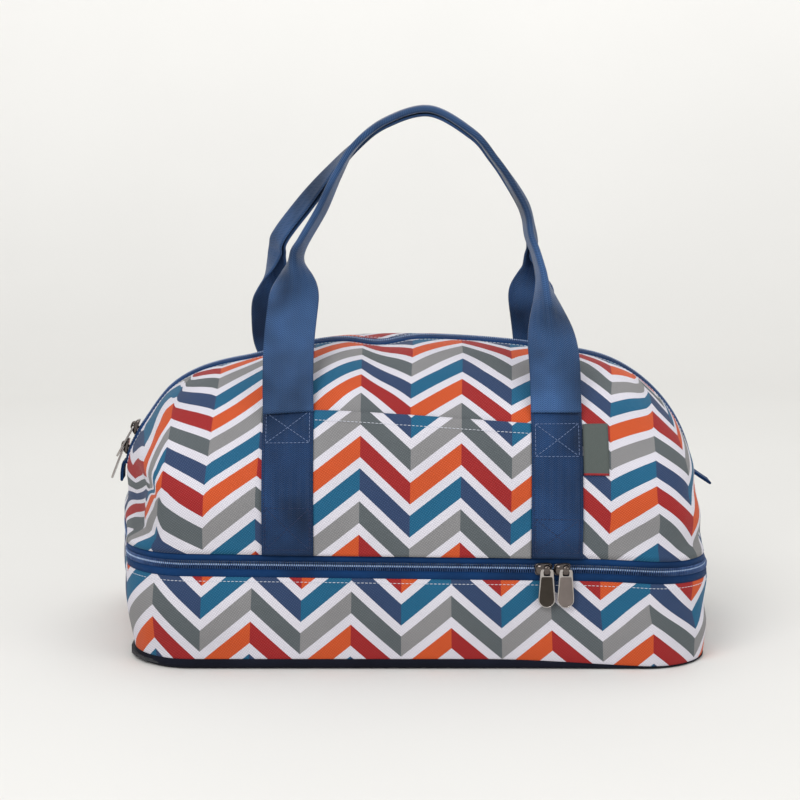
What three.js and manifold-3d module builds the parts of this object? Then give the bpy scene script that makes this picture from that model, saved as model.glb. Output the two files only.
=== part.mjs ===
// A two-deck insulated casserole carrier: a lower deck for the dish, a domed upper deck that zips to it
// round three sides and tips back as its lid, and two webbing handles.
// Millimetres. +X is right and -Y the front, as the bag faces a viewer; +Z is up.
// The origin is on the floor, under the middle of the bag.

import * as THREE from "three";
import { mergeVertices } from "three/addons/utils/BufferGeometryUtils.js";
import Module from "manifold-3d";

const wasm = await Module();
wasm.setup();

// Body: the sizes that the rest follows
const bodyWidth = 440;
const bodyDepth = 250;
const cornerRadius = 50;
const ridgeHeight = 234;
const crownRise = 10; // from the top of the shoulders' arcs to the middle of the ridge
const shoulderStart = 124; // height where the sides begin to curve in to the ridge
const domeFullness = 2.6; // exponent of the front-to-back profile; 2 is an ellipse
const zipEnd = 134; // height of the top zip's ends
const flapRise = 42; // from the fold, where the handles leave the bag too, up to the ridge

// Layers of the wall, from the outside in
const skinThick = 1.6;
const foamThick = 4;
const liningThick = 1;
const gap = 0.3; // air between two pieces that touch
const overrun = 20; // how far a cutting solid runs past what it cuts

// Base
const baseRim = 7; // height of the base panel's turned-up edge
const baseFloorThick = 2;
const boardThick = 2.5;

// Zips
const chainHeight = 78; // middle of the zip between the decks
const rowGap = 1.4; // between the two rows of coil, where a slider's post runs
const rowWidth = 2.4;
const rowDepth = 2.4;
const tapeThick = 1;
const tapeWidth = 5.9;
const tapeInset = 0.2;
const topTapeWidth = 8.3;
const stopHeight = 2.2; // height of the stop at an end of the top zip

// Sliders and their pulls
const sliderLength = 12.4;
const sliderWidth = 10;
const sliderTail = 8.4; // width at the narrow end
const plateThick = 1.3;
const slideClearance = 0.45; // between a slider's plates and the coil
const postWidth = 0.5;
const postLength = 2.4;
const bridgeLength = 3.4; // width of the bridge's strap of metal
const bridgeSpan = 6.6; // outside width of the bridge, from leg to leg
const bridgeThick = 1;
const tunnelHeight = 2.8; // under the bridge
const pullLength = 26;
const pullTopWidth = 9;
const pullEndWidth = 11.5;
const pullThick = 1.5;
const pullBar = 1.2; // bar of the pull that lies under the bridge
const pullRim = 1.1; // raised edge round the pull's face
const pullRecess = 0.35;
const deckSliderX = { lower_slider_left: 94, lower_slider_right: 107 };
const topSliderRise = { top_slider_a: 34.662239, top_slider_b: 19.0642314 }; // up along the left shoulder's arc
const topPullLean = { top_slider_a: 15, top_slider_b: 5 }; // degrees that a pull stands off the zip

// Webbing
const webWidth = 38;
const webThick = 2;
const strapSpacing = 199; // between the two legs' middles
const strapCentre = 4.5; // the straps are sewn on this far right of the bag's middle
const handleRise = 177; // from the ridge to the middle of the grip, at the top of its arch
const gripWidth = 19; // front to back: the webbing's two edges are folded back on each other
const gripThick = 5;
const gripSpacing = 26; // between the two grips at the top

// Small fabric parts
const pocketDrop = 3; // from the fold down to the pocket's mouth
const pocketThick = 1.2;
const labelWidth = 21;
const labelDrop = 11; // from the fold down to the label
const labelHeight = 38;
const labelThick = 0.8;
const tabWidth = 18;
const tabThick = 2.4;
const tabLength = 16;
const tabDroop = { left: 82, right: 35 }; // degrees below level

// How finely round shapes are faceted
const cornerSteps = 6;
const frontSteps = 5;
const sideSteps = 1;
const levelSteps = 7;
const shoulderSteps = 12;
const crownSteps = 4;
const handleSteps = 30;
const mergeTolerance = 1e-4;

// Levels and insets worked out from the sizes above
const shoulderRadius = ridgeHeight - crownRise - shoulderStart;
const foldHeight = ridgeHeight - flapRise;
const handleTop = ridgeHeight + handleRise;
const pocketTop = foldHeight - pocketDrop;
const labelTop = foldHeight - labelDrop;
const rowEdge = rowGap / 2 + rowWidth;
const tapeEdge = rowEdge + gap + tapeWidth;
const wallTop = chainHeight - tapeEdge - gap;
const domeFoot = chainHeight + tapeEdge + gap;
const foamInset = skinThick + gap;
const liningInset = foamInset + foamThick + gap;
const innerInset = liningInset + liningThick;
const chainInset = tapeInset + tapeThick / 2; // middle of the coil
const rowInset = chainInset - rowDepth / 2;
const plateFace = rowDepth / 2 + slideClearance; // from the coil's middle to a slider's plate
const insideSlider = chainInset + plateFace + plateThick + gap;
const topTapeNear = rowEdge + gap;
const topTapeFar = topTapeNear + topTapeWidth;
const slot = topTapeFar + gap; // half the width of the slot for the top zip
const belowFold = foldHeight - gap / 2;
const aboveFold = foldHeight + gap / 2;

const materials = {
  print: fabric(0x9a8f94, 0.85),
  navy: fabric(0x1f3a68, 0.7),
  navyDark: fabric(0x172b50, 0.75),
  foam: fabric(0xe9e6df, 0.9),
  lining: fabric(0xb9bec4, 0.35),
  board: fabric(0x2b2d31, 0.6),
  label: fabric(0x5b6561, 0.8),
  coil: fabric(0x1b3157, 0.4),
  metal: new THREE.MeshStandardMaterial({ color: 0x9c9791, roughness: 0.28, metalness: 1 }),
};

function fabric(color, roughness) {
  return new THREE.MeshStandardMaterial({ color, roughness, metalness: 0 });
}

// A closed three.js geometry as a solid that can be cut and joined
function solidOf(geometry) {
  const plain = geometry.index ? geometry.toNonIndexed() : geometry.clone();
  plain.deleteAttribute("normal");
  plain.deleteAttribute("uv");
  const merged = mergeVertices(plain, mergeTolerance);
  const corners = merged.index.array;
  const kept = [];
  for (let i = 0; i < corners.length; i += 3) {
    const [a, b, c] = corners.slice(i, i + 3);
    if (a !== b && b !== c && c !== a) kept.push(a, b, c);
  }
  return new wasm.Manifold(
    new wasm.Mesh({
      numProp: 3,
      vertProperties: merged.attributes.position.array,
      triVerts: new Uint32Array(kept),
    }),
  );
}

// A named mesh made of a solid
function piece(name, solid, material) {
  const { vertProperties, triVerts, numProp } = solid.getMesh();
  const count = vertProperties.length / numProp;
  const positions = new Float32Array(count * 3);
  for (let i = 0; i < count; i++) {
    positions.set(vertProperties.subarray(i * numProp, i * numProp + 3), i * 3);
  }
  const geometry = new THREE.BufferGeometry();
  geometry.setAttribute("position", new THREE.BufferAttribute(positions, 3));
  geometry.setIndex(new THREE.BufferAttribute(new Uint32Array(triVerts), 1));
  geometry.computeVertexNormals();
  const mesh = new THREE.Mesh(geometry, material);
  mesh.name = name;
  return mesh;
}

// A box between two corners
function block([x0, y0, z0], [x1, y1, z1]) {
  const geometry = new THREE.BoxGeometry(x1 - x0, y1 - y0, z1 - z0);
  return solidOf(geometry.translate((x0 + x1) / 2, (y0 + y1) / 2, (z0 + z1) / 2));
}

const farX = bodyWidth / 2 + overrun;
const farY = bodyDepth / 2 + overrun;
const farZ = ridgeHeight + overrun;

// Half-spaces and slabs that the shells are cut with: all of the bag on one side, between two heights
function frontSlab(yMax, zMin, zMax) {
  return block([-farX, -farY, zMin], [farX, yMax, zMax]);
}

function levelSlab(zMin, zMax) {
  return block([-farX, -farY, zMin], [farX, farY, zMax]);
}

// The bag's outline seen from above, moved in by an inset
function footprint(inset, ShapeClass = THREE.Shape) {
  const x = bodyWidth / 2 - inset;
  const y = bodyDepth / 2 - inset;
  const r = cornerRadius - inset;
  const quarter = Math.PI / 2;
  const outline = new ShapeClass();
  outline.absarc(x - r, y - r, r, 0, quarter, false);
  outline.absarc(r - x, y - r, r, quarter, 2 * quarter, false);
  outline.absarc(r - x, r - y, r, 2 * quarter, 3 * quarter, false);
  outline.absarc(x - r, r - y, r, 3 * quarter, 4 * quarter, false);
  outline.closePath();
  return outline;
}

function raise(shape, zMin, zMax) {
  const options = { depth: zMax - zMin, bevelEnabled: false, curveSegments: cornerSteps / 2 };
  return solidOf(new THREE.ExtrudeGeometry(shape, options).translate(0, 0, zMin));
}

function plate(inset, zMin, zMax) {
  return raise(footprint(inset), zMin, zMax);
}

function wall(outerInset, innerInset, zMin, zMax) {
  const shape = footprint(outerInset);
  shape.holes.push(footprint(innerInset, THREE.Path));
  return raise(shape, zMin, zMax);
}

// The arc across the top of the dome meets both shoulder arcs without a corner
const shoulderX = bodyWidth / 2 - shoulderRadius;
const shoulderRise = ridgeHeight - shoulderStart;
const crownRadius =
  (shoulderX ** 2 + shoulderRise ** 2 - shoulderRadius ** 2) / (2 * (shoulderRise - shoulderRadius));
const crownCentre = ridgeHeight - crownRadius;
const crownAngle = Math.atan2(shoulderX, shoulderStart - crownCentre); // from straight up to where they meet

// Height of the ridge at x, moved in by an inset
function ridgeZ(x, inset) {
  const across = Math.abs(x);
  const onCrown = across < (crownRadius - inset) * Math.sin(crownAngle);
  if (onCrown) return crownCentre + Math.sqrt((crownRadius - inset) ** 2 - across ** 2);
  const r = shoulderRadius - inset;
  return shoulderStart + Math.sqrt(Math.max(0, r ** 2 - (across - shoulderX) ** 2));
}

// A quarter of the dome's upright slices, from the middle of a side to the middle of the front.
// Each stands at x, y on the footprint and rises to the ridge at the same x.
function quarterSlices(inset) {
  const halfWidth = bodyWidth / 2 - inset;
  const halfDepth = bodyDepth / 2 - inset;
  const r = cornerRadius - inset;
  const list = [];
  for (let i = 0; i < sideSteps; i++) {
    const share = i / sideSteps;
    const top = domeFoot + (shoulderStart - domeFoot) * share;
    list.push({ x: halfWidth, y: (halfDepth - r) * share, top });
  }
  for (let i = 0; i < cornerSteps; i++) {
    const turn = ((i / cornerSteps) * Math.PI) / 2;
    const x = halfWidth - r + r * Math.cos(turn);
    list.push({ x, y: halfDepth - r + r * Math.sin(turn), top: ridgeZ(x, inset) });
  }
  for (let i = 0; i <= frontSteps; i++) {
    const x = (halfWidth - r) * (1 - i / frontSteps);
    list.push({ x, y: halfDepth, top: ridgeZ(x, inset) });
  }
  return list;
}

// The four quarters in one loop, anticlockwise from the right-hand side
function slices(inset) {
  const quarter = quarterSlices(inset);
  const flip = (signX, signY) => quarter.map(({ x, y, top }) => ({ x: signX * x, y: signY * y, top }));
  const open = (list) => list.slice(0, -1);
  return [
    ...open(flip(1, 1)),
    ...open(flip(-1, 1).reverse()),
    ...open(flip(-1, -1)),
    ...open(flip(1, -1).reverse()),
  ];
}

// The whole dome as one solid, moved in by an inset, with straight walls below its foot down to a floor.
// Neighbouring quarters split their facets the mirrored way, so that a mirrored layer fits its neighbours.
function dome(inset, floor) {
  const power = 2 / domeFullness;
  const columns = slices(inset).map(({ x, y, top }) => {
    const column = [new THREE.Vector3(x, y, floor)];
    for (let j = 0; j <= levelSteps; j++) {
      const turn = ((j / levelSteps) * Math.PI) / 2;
      const out = Math.max(0, Math.cos(turn)) ** power;
      const up = Math.sin(turn) ** power;
      const inward = j === levelSteps ? 0 : y * out;
      column.push(new THREE.Vector3(x, inward, domeFoot + (top - domeFoot) * up));
    }
    return column;
  });
  const centre = new THREE.Vector3(0, 0, floor);
  const corners = [];
  columns.forEach((here, i) => {
    const next = columns[(i + 1) % columns.length];
    const mirrored = Math.floor((i * 4) / columns.length) % 2 === 1;
    corners.push(centre, next[0], here[0]);
    for (let j = 0; j + 1 < here.length; j++) {
      if (mirrored) corners.push(here[j], next[j], here[j + 1], next[j], next[j + 1], here[j + 1]);
      else corners.push(here[j], next[j], next[j + 1], here[j], next[j + 1], here[j + 1]);
    }
  });
  return solidOf(new THREE.BufferGeometry().setFromPoints(corners));
}

// A layer of the dome between two insets, with its foot open
function shell(outerInset, innerInset) {
  return dome(outerInset, domeFoot).subtract(dome(innerInset, domeFoot - overrun));
}

function mirrorY(solid) {
  return solid.mirror([0, 1, 0]);
}

// The ridge's arcs from the right-hand side over the top to the left-hand side, moved in by an inset
function ridgePath(inset) {
  const shoulder = shoulderRadius - inset;
  const crown = crownRadius - inset;
  const meet = Math.PI / 2 - crownAngle;
  const arc = (x, z, radius, from, to, steps) =>
    new THREE.Path().absarc(x, z, radius, from, to, false).getSpacedPoints(steps);
  return [
    ...arc(shoulderX, shoulderStart, shoulder, 0, meet, shoulderSteps),
    ...arc(0, crownCentre, crown, meet, Math.PI - meet, crownSteps).slice(1, -1),
    ...arc(-shoulderX, shoulderStart, shoulder, Math.PI - meet, Math.PI, shoulderSteps),
  ];
}

// A band along the ridge between two insets and two distances in front of the middle plane
function ridgeBand(outerInset, thick, near, far) {
  const outline = [...ridgePath(outerInset), ...ridgePath(outerInset + thick).reverse()];
  const options = { depth: far - near, bevelEnabled: false };
  const band = new THREE.ExtrudeGeometry(new THREE.Shape(outline), options);
  return solidOf(band.rotateX(Math.PI / 2).translate(0, -near, 0));
}

// The slot through every layer where the top zip lies, from a height up
function zipSlot(zMin) {
  return block([-farX, -slot, zMin], [farX, slot, farZ]);
}

// Lower deck: navy panel, stiff board, printed wall, foam tub and lining tub
const boardTop = baseFloorThick + gap + boardThick;
const lowerFoamTop = boardTop + gap + foamThick;
const lowerFloor = lowerFoamTop + gap + liningThick;
const lowerFoamRim = wallTop - 2 * gap;
const lowerRim = chainHeight - rowGap / 2 - 2 * gap;

function basePanel() {
  return plate(0, 0, baseRim).subtract(plate(skinThick, baseFloorThick, baseRim + overrun));
}

// A tub with its own floor
function tub(inset, thick, floorMin, floorMax, rim) {
  return plate(inset, floorMin, rim).subtract(plate(inset + thick, floorMax, rim + overrun));
}

// The zip between the decks runs round the front, the sides and the corners; strips hinge the straight back
const backStraight = bodyWidth / 2 - cornerRadius;
const backEdge = bodyDepth / 2 - cornerRadius;

function zipOnly(ring) {
  return ring.subtract(block([-backStraight, backEdge, 0], [backStraight, farY, farZ]));
}

function hingeOnly(ring) {
  return ring.intersect(block([gap - backStraight, backEdge, 0], [backStraight - gap, farY, farZ]));
}

// A ring of one deck's half of the zip: deck is -1 below the chain and 1 above it
function deckRing(deck, inset, thick, near, far) {
  const edges = [chainHeight + deck * near, chainHeight + deck * far].sort((a, b) => a - b);
  return wall(inset, inset + thick, ...edges);
}

function deckTape(deck) {
  return zipOnly(deckRing(deck, tapeInset, tapeThick, rowEdge + gap, tapeEdge));
}

function deckCoil(deck) {
  return zipOnly(deckRing(deck, rowInset, rowDepth, rowGap / 2, rowEdge));
}

function hingeStrip(deck) {
  return hingeOnly(deckRing(deck, tapeInset, tapeThick, gap / 2, tapeEdge));
}

function addLowerDeck(bag) {
  const binding = wall(insideSlider, liningInset - gap, lowerFoamRim + gap, lowerRim);
  const foam = tub(foamInset, foamThick, boardTop + gap, lowerFoamTop, lowerFoamRim);
  const lining = tub(liningInset, liningThick, lowerFoamTop + gap, lowerFloor, lowerRim);
  const board = plate(foamInset, baseFloorThick + gap, boardTop);
  bag.add(
    piece("base_panel", basePanel(), materials.navyDark),
    piece("base_board", board, materials.board),
    piece("lower_wall", wall(0, skinThick, baseRim + gap, wallTop), materials.print),
    piece("lower_foam", foam, materials.foam),
    piece("lower_lining", lining, materials.lining),
    piece("lower_rim_binding", binding, materials.navy),
    piece("lower_zip_tape", deckTape(-1), materials.navy),
    piece("lower_zip_coil", deckCoil(-1), materials.coil),
    piece("back_hinge_strip_lower", hingeStrip(-1), materials.navy),
  );
}

// Divider: the floor of the upper deck, which is also the lid of the lower one
const dividerSkinMin = chainHeight + rowGap / 2 + gap;
const dividerSkinMax = dividerSkinMin + liningThick;
const dividerBoardMin = domeFoot - gap;
const dividerBoardMax = dividerBoardMin + boardThick;
const upperFoamFoot = dividerBoardMax + gap;
const upperFloor = upperFoamFoot + liningThick;

function addDivider(bag) {
  const skin = plate(insideSlider, dividerSkinMin, dividerSkinMax);
  const foam = plate(insideSlider, dividerSkinMax + gap, dividerBoardMin - gap);
  const board = plate(foamInset, dividerBoardMin, dividerBoardMax);
  bag.add(
    piece("divider_skin", skin, materials.lining),
    piece("divider_foam", foam, materials.foam),
    piece("divider_board", board, materials.board),
    piece("lid_zip_tape", deckTape(1), materials.navy),
    piece("lid_zip_coil", deckCoil(1), materials.coil),
    piece("back_hinge_strip_upper", hingeStrip(1), materials.navy),
  );
}

// Whatever is sewn flat on the front of the dome, between two distances across and two heights
function patch(thick, xMin, xMax, zMin, zMax) {
  const layer = shell(-gap - thick, -gap);
  return layer.intersect(block([xMin, -farY, zMin], [xMax, -slot, zMax]));
}

const sides = { left: -1, right: 1 };
const faces = { front: (solid) => solid, back: mirrorY };

function strapX(side) {
  return strapCentre + (side * strapSpacing) / 2;
}

function strap(side) {
  const x = strapX(side);
  return patch(webThick, x - webWidth / 2, x + webWidth / 2, domeFoot, belowFold);
}

function pocket() {
  const edge = webWidth / 2 + gap;
  return patch(pocketThick, strapX(-1) + edge, strapX(1) - edge, domeFoot, pocketTop);
}

function label() {
  const near = strapX(1) + webWidth / 2 + gap;
  return patch(labelThick, near, near + labelWidth, labelTop - labelHeight, labelTop);
}

// The shut end of the top zip: both tapes, both rows of coil and the stop that joins them
function topZipEnd(side) {
  const band = (inset, thick, near, far) => {
    const half = ridgeBand(inset, thick, near, far);
    return half.add(mirrorY(half));
  };
  const tapes = band(tapeInset, tapeThick, 0, topTapeFar);
  const middle = block([-farX, -rowEdge, zipEnd + stopHeight], [farX, rowEdge, farZ]);
  const coils = band(rowInset, rowDepth, rowGap / 2, topTapeNear);
  const level = levelSlab(zipEnd + gap / 2, belowFold);
  const half = block([Math.min(0, side * farX), -farY, 0], [Math.max(0, side * farX), farY, farZ]);
  return tapes.subtract(middle).add(coils).intersect(level).intersect(half);
}

// A folded tab below an end of the top zip: it leaves the bag's side and bends down
function endTab(side, droopDegrees) {
  const droop = THREE.MathUtils.degToRad(droopDegrees);
  const foot = new THREE.Vector2(bodyWidth / 2 + gap, zipEnd - gap - tabThick);
  const out = new THREE.Vector2(Math.cos(droop), -Math.sin(droop));
  const tip = foot.clone().addScaledVector(out, tabLength);
  const across = new THREE.Vector2(Math.sin(droop), Math.cos(droop)).multiplyScalar(tabThick);
  const top = foot.clone().add(new THREE.Vector2(0, tabThick));
  const outline = [foot, tip, tip.clone().add(across), foot.clone().add(across), top];
  const shape = new THREE.Shape(outline.map((point) => new THREE.Vector2(side * point.x, point.y)));
  const tab = new THREE.ExtrudeGeometry(shape, { depth: tabWidth, bevelEnabled: false });
  return solidOf(tab.rotateX(Math.PI / 2).translate(0, tabWidth / 2, 0));
}

function addUpperDeck(bag) {
  const level = levelSlab(upperFoamFoot, belowFold);
  const cutSlot = zipSlot(zipEnd - gap / 2);
  const foam = shell(foamInset, foamInset + foamThick).intersect(level).subtract(cutSlot);
  const hollow = dome(innerInset, domeFoot).intersect(levelSlab(upperFloor, farZ));
  const lining = dome(liningInset, domeFoot).intersect(level).subtract(hollow).subtract(cutSlot);
  const panel = shell(0, skinThick).intersect(frontSlab(-gap / 2, domeFoot, belowFold)).subtract(cutSlot);
  bag.add(piece("upper_foam", foam, materials.foam), piece("upper_lining", lining, materials.lining));
  for (const [face, turn] of Object.entries(faces)) {
    bag.add(piece(`${face}_panel`, turn(panel), materials.print));
    for (const [name, side] of Object.entries(sides)) {
      bag.add(piece(`strap_${face}_${name}`, turn(strap(side)), materials.navy));
    }
  }
  for (const [name, side] of Object.entries(sides)) {
    bag.add(piece(`top_zip_end_${name}`, topZipEnd(side), materials.navy));
    bag.add(piece(`zip_tab_${name}`, endTab(side, tabDroop[name]), materials.navyDark));
  }
  bag.add(piece("front_pocket", pocket(), materials.print), piece("side_label", label(), materials.label));
}

// One half of the dome above the fold, which parts from the other when the top zip is open
function flapLayer(outerInset, innerInset) {
  return shell(outerInset, innerInset).intersect(frontSlab(-slot, aboveFold, farZ));
}

function addFlaps(bag) {
  const above = levelSlab(aboveFold, farZ);
  const tape = ridgeBand(tapeInset, tapeThick, topTapeNear, topTapeFar).intersect(above);
  const coil = ridgeBand(rowInset, rowDepth, rowGap / 2, rowEdge).intersect(above);
  for (const [face, turn] of Object.entries(faces)) {
    bag.add(
      piece(`${face}_flap_panel`, turn(flapLayer(0, skinThick)), materials.print),
      piece(`${face}_flap_foam`, turn(flapLayer(foamInset, foamInset + foamThick)), materials.foam),
      piece(`${face}_flap_lining`, turn(flapLayer(liningInset, innerInset)), materials.lining),
      piece(`${face}_zip_tape`, turn(tape), materials.navy),
      piece(`${face}_zip_coil`, turn(coil), materials.coil),
    );
  }
}

// Right half of a handle, from the top down to the bag. Shares of the half spacing of the legs, of the
// rise above the fold, of the way in to the grip's place, and of the fold from flat webbing to grip.
const handleShares = [
  { across: 0, up: 1, inward: 1, fold: 1 },
  { across: 0.22, up: 0.98, inward: 0.99, fold: 1 },
  { across: 0.4, up: 0.92, inward: 0.97, fold: 1 },
  { across: 0.64, up: 0.76, inward: 0.92, fold: 1 },
  { across: 0.76, up: 0.65, inward: 0.83, fold: 1 },
  { across: 0.86, up: 0.53, inward: 0.66, fold: 0.95 },
  { across: 0.92, up: 0.43, inward: 0.54, fold: 0.3 },
  { across: 0.96, up: 0.31, inward: 0.4, fold: 0 },
  { across: 0.99, up: 0.16, inward: 0.2, fold: 0 },
  { across: 1, up: 0, inward: 0, fold: 0 },
];

// Distance of the dome's outside from the middle plane at a height, where the front is straight
function domeDepthAt(z, outset) {
  const up = (z - domeFoot) / (ridgeHeight + outset - domeFoot);
  return (bodyDepth / 2 + outset) * (1 - up ** domeFullness) ** (1 / domeFullness);
}

function handlePoints() {
  const foot = domeDepthAt(foldHeight, gap + webThick / 2);
  const rise = handleTop - aboveFold;
  const place = (side) => (share) => ({
    at: new THREE.Vector3(
      strapCentre + (side * share.across * strapSpacing) / 2,
      (foot - gripSpacing / 2) * share.inward - foot,
      aboveFold + rise * share.up,
    ),
    fold: share.fold,
  });
  const right = handleShares.map(place(1));
  const left = handleShares.slice(1).map(place(-1)).reverse();
  return [...left, ...right];
}

// Webbing swept along the handle's points, its section going from flat to folded and back
function handle() {
  const points = handlePoints();
  const path = new THREE.CatmullRomCurve3(points.map((point) => point.at));
  const rings = [];
  for (let i = 0; i <= handleSteps; i++) {
    const place = (i / handleSteps) * (points.length - 1);
    const low = Math.min(Math.floor(place), points.length - 2);
    const fold = THREE.MathUtils.lerp(points[low].fold, points[low + 1].fold, place - low);
    const end = i === 0 ? 1 : i === handleSteps ? -1 : 0;
    const along = end ? new THREE.Vector3(0, 0, end) : path.getTangent(i / handleSteps);
    const proud = new THREE.Vector3(0, 1, 0).addScaledVector(along, -along.y).normalize();
    const across = new THREE.Vector3().crossVectors(along, proud);
    const width = THREE.MathUtils.lerp(webWidth, gripThick, fold);
    const thick = THREE.MathUtils.lerp(webThick, gripWidth, fold);
    rings.push(sectionRing(path.getPoint(i / handleSteps), across, proud, width / 2, thick / 2));
  }
  return loft(rings);
}

// Eight corners of a flat section with bevelled edges
function sectionRing(centre, across, proud, halfWidth, halfThick) {
  const bevel = (Math.min(halfWidth, halfThick) * 2) / 3;
  const cornerAt = (a, p) => centre.clone().addScaledVector(across, a).addScaledVector(proud, p);
  const outline = [
    [halfWidth, bevel - halfThick],
    [halfWidth, halfThick - bevel],
    [halfWidth - bevel, halfThick],
    [bevel - halfWidth, halfThick],
    [-halfWidth, halfThick - bevel],
    [-halfWidth, bevel - halfThick],
    [bevel - halfWidth, -halfThick],
    [halfWidth - bevel, -halfThick],
  ];
  return outline.map(([a, p]) => cornerAt(a, p));
}

// A closed solid through a row of rings
function loft(rings) {
  const corners = [];
  const count = rings[0].length;
  rings.slice(1).forEach((next, i) => {
    const here = rings[i];
    for (let j = 0; j < count; j++) {
      const k = (j + 1) % count;
      corners.push(here[j], next[k], here[k], here[j], next[j], next[k]);
    }
  });
  const first = rings[0];
  const last = rings[rings.length - 1];
  for (let j = 1; j + 1 < count; j++) {
    corners.push(first[0], first[j], first[j + 1], last[0], last[j + 1], last[j]);
  }
  return solidOf(new THREE.BufferGeometry().setFromPoints(corners));
}

// Slider: two plates held by a post that runs between the rows of coil, and a bridge for the pull.
// In its own frame the zip runs along X in the XZ plane and the outside is -Y.
const plateTop = plateFace + plateThick;
const bridgeTop = plateTop + tunnelHeight + bridgeThick;
const pullAxis = plateTop + tunnelHeight / 2;

function slider(bridgeTurn) {
  const half = sliderLength / 2;
  const outline = new THREE.Shape([
    new THREE.Vector2(-half, -sliderTail / 2),
    new THREE.Vector2(half / 2, -sliderWidth / 2),
    new THREE.Vector2(half, -sliderTail / 2),
    new THREE.Vector2(half, sliderTail / 2),
    new THREE.Vector2(half / 2, sliderWidth / 2),
    new THREE.Vector2(-half, sliderTail / 2),
  ]);
  const sheet = (y) => {
    const blank = new THREE.ExtrudeGeometry(outline, { depth: plateThick, bevelEnabled: false });
    return solidOf(blank.rotateX(Math.PI / 2).translate(0, y, 0));
  };
  const reach = plateFace + plateThick / 2;
  const post = block([-postLength / 2, -reach, -postWidth / 2], [postLength / 2, reach, postWidth / 2]);
  return sheet(-plateFace).add(sheet(plateTop)).add(post).add(bridge(bridgeTurn));
}

// An arch on the outer plate, whose tunnel runs along the zip until it is turned about the plate's normal
function bridge(turn) {
  const half = bridgeLength / 2;
  const inner = bridgeSpan / 2 - bridgeThick;
  const outside = new THREE.Shape([
    new THREE.Vector2(-bridgeSpan / 2, plateTop - gap),
    new THREE.Vector2(-inner, plateTop - gap),
    new THREE.Vector2(-inner, bridgeTop - bridgeThick),
    new THREE.Vector2(inner, bridgeTop - bridgeThick),
    new THREE.Vector2(inner, plateTop - gap),
    new THREE.Vector2(bridgeSpan / 2, plateTop - gap),
    new THREE.Vector2(bridgeSpan / 2, bridgeTop),
    new THREE.Vector2(-bridgeSpan / 2, bridgeTop),
  ]);
  const arch = new THREE.ExtrudeGeometry(outside, { depth: bridgeLength, bevelEnabled: false });
  arch.translate(0, 0, -half).rotateX(Math.PI).rotateY(Math.PI / 2 + turn);
  return solidOf(arch);
}

// A flat pull hanging down (-Z) from the bar that lies along X, with an eye under the bar and a raised rim
const eyeReach = Math.hypot(bridgeSpan / 2, bridgeThick + tunnelHeight / 2) + slideClearance;

function pull() {
  const top = pullTopWidth / 2;
  const end = pullEndWidth / 2;
  const outline = new THREE.Shape();
  outline.moveTo(-top, pullBar / 2);
  outline.lineTo(-end, end - pullLength);
  outline.absarc(0, end - pullLength, end, Math.PI, 2 * Math.PI, false);
  outline.lineTo(top, pullBar / 2);
  const side = bridgeLength / 2 + slideClearance;
  const eye = [
    new THREE.Vector2(-side, -pullBar / 2),
    new THREE.Vector2(side, -pullBar / 2),
    new THREE.Vector2(side, -eyeReach),
    new THREE.Vector2(-side, -eyeReach),
  ];
  outline.holes.push(new THREE.Path(eye));
  return pullSheet(outline, pullThick / 2, pullThick).subtract(pullFace());
}

// The shallow recess in the pull's outer face, a rim's width inside its edge
function pullFace() {
  const end = pullEndWidth / 2 - pullRim;
  const top = pullTopWidth / 2 - pullRim;
  const centre = pullEndWidth / 2 - pullLength;
  const outline = new THREE.Shape();
  outline.moveTo(-top, -eyeReach - pullRim);
  outline.lineTo(-end, centre);
  outline.absarc(0, centre, end, Math.PI, 2 * Math.PI, false);
  outline.lineTo(top, -eyeReach - pullRim);
  return pullSheet(outline, pullRecess - pullThick / 2, overrun);
}

// A flat outline in the XZ plane, from its inner face outwards
function pullSheet(outline, innerFace, thick) {
  const options = { depth: thick, bevelEnabled: false, curveSegments: cornerSteps / 2 };
  const sheet = new THREE.ExtrudeGeometry(outline, options).rotateX(Math.PI / 2);
  return solidOf(sheet.translate(0, innerFace, 0));
}

// A slider on the zip with its pull. The bridge is turned so that the pull's bar lies along its axis.
function addSlider(bag, name, position, quaternion, bridgeTurn, lean) {
  const holder = new THREE.Group();
  holder.position.copy(position);
  holder.quaternion.copy(quaternion);
  const tag = piece(name.replace("slider", "pull"), pull(), materials.metal);
  tag.position.set(0, -pullAxis, 0);
  tag.rotation.set(-lean, bridgeTurn, 0, "YXZ");
  holder.add(piece(name, slider(bridgeTurn), materials.metal), tag);
  bag.add(holder);
}

function addDeckSliders(bag) {
  for (const [name, x] of Object.entries(deckSliderX)) {
    const position = new THREE.Vector3(x, chainInset - bodyDepth / 2, chainHeight);
    addSlider(bag, name, position, new THREE.Quaternion(), 0, 0);
  }
}

// Both sliders of the top zip are parked on the arc of the left shoulder
function addTopSliders(bag) {
  const radius = shoulderRadius - chainInset;
  for (const [name, rise] of Object.entries(topSliderRise)) {
    const turn = rise / radius;
    const out = new THREE.Vector3(-Math.cos(turn), 0, Math.sin(turn));
    const along = new THREE.Vector3(Math.sin(turn), 0, Math.cos(turn));
    const position = new THREE.Vector3(-shoulderX, 0, shoulderStart).addScaledVector(out, radius);
    const basis = new THREE.Matrix4().makeBasis(along, out.clone().negate(), new THREE.Vector3(0, 1, 0));
    const quaternion = new THREE.Quaternion().setFromRotationMatrix(basis);
    const lean = THREE.MathUtils.degToRad(topPullLean[name]);
    addSlider(bag, name, position, quaternion, Math.PI / 2, lean);
  }
}

const bag = new THREE.Group();
addLowerDeck(bag);
addDivider(bag);
addUpperDeck(bag);
addFlaps(bag);
for (const [face, turn] of Object.entries(faces)) {
  bag.add(piece(`${face}_handle`, turn(handle()), materials.navy));
}
addDeckSliders(bag);
addTopSliders(bag);

export default bag;
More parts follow.
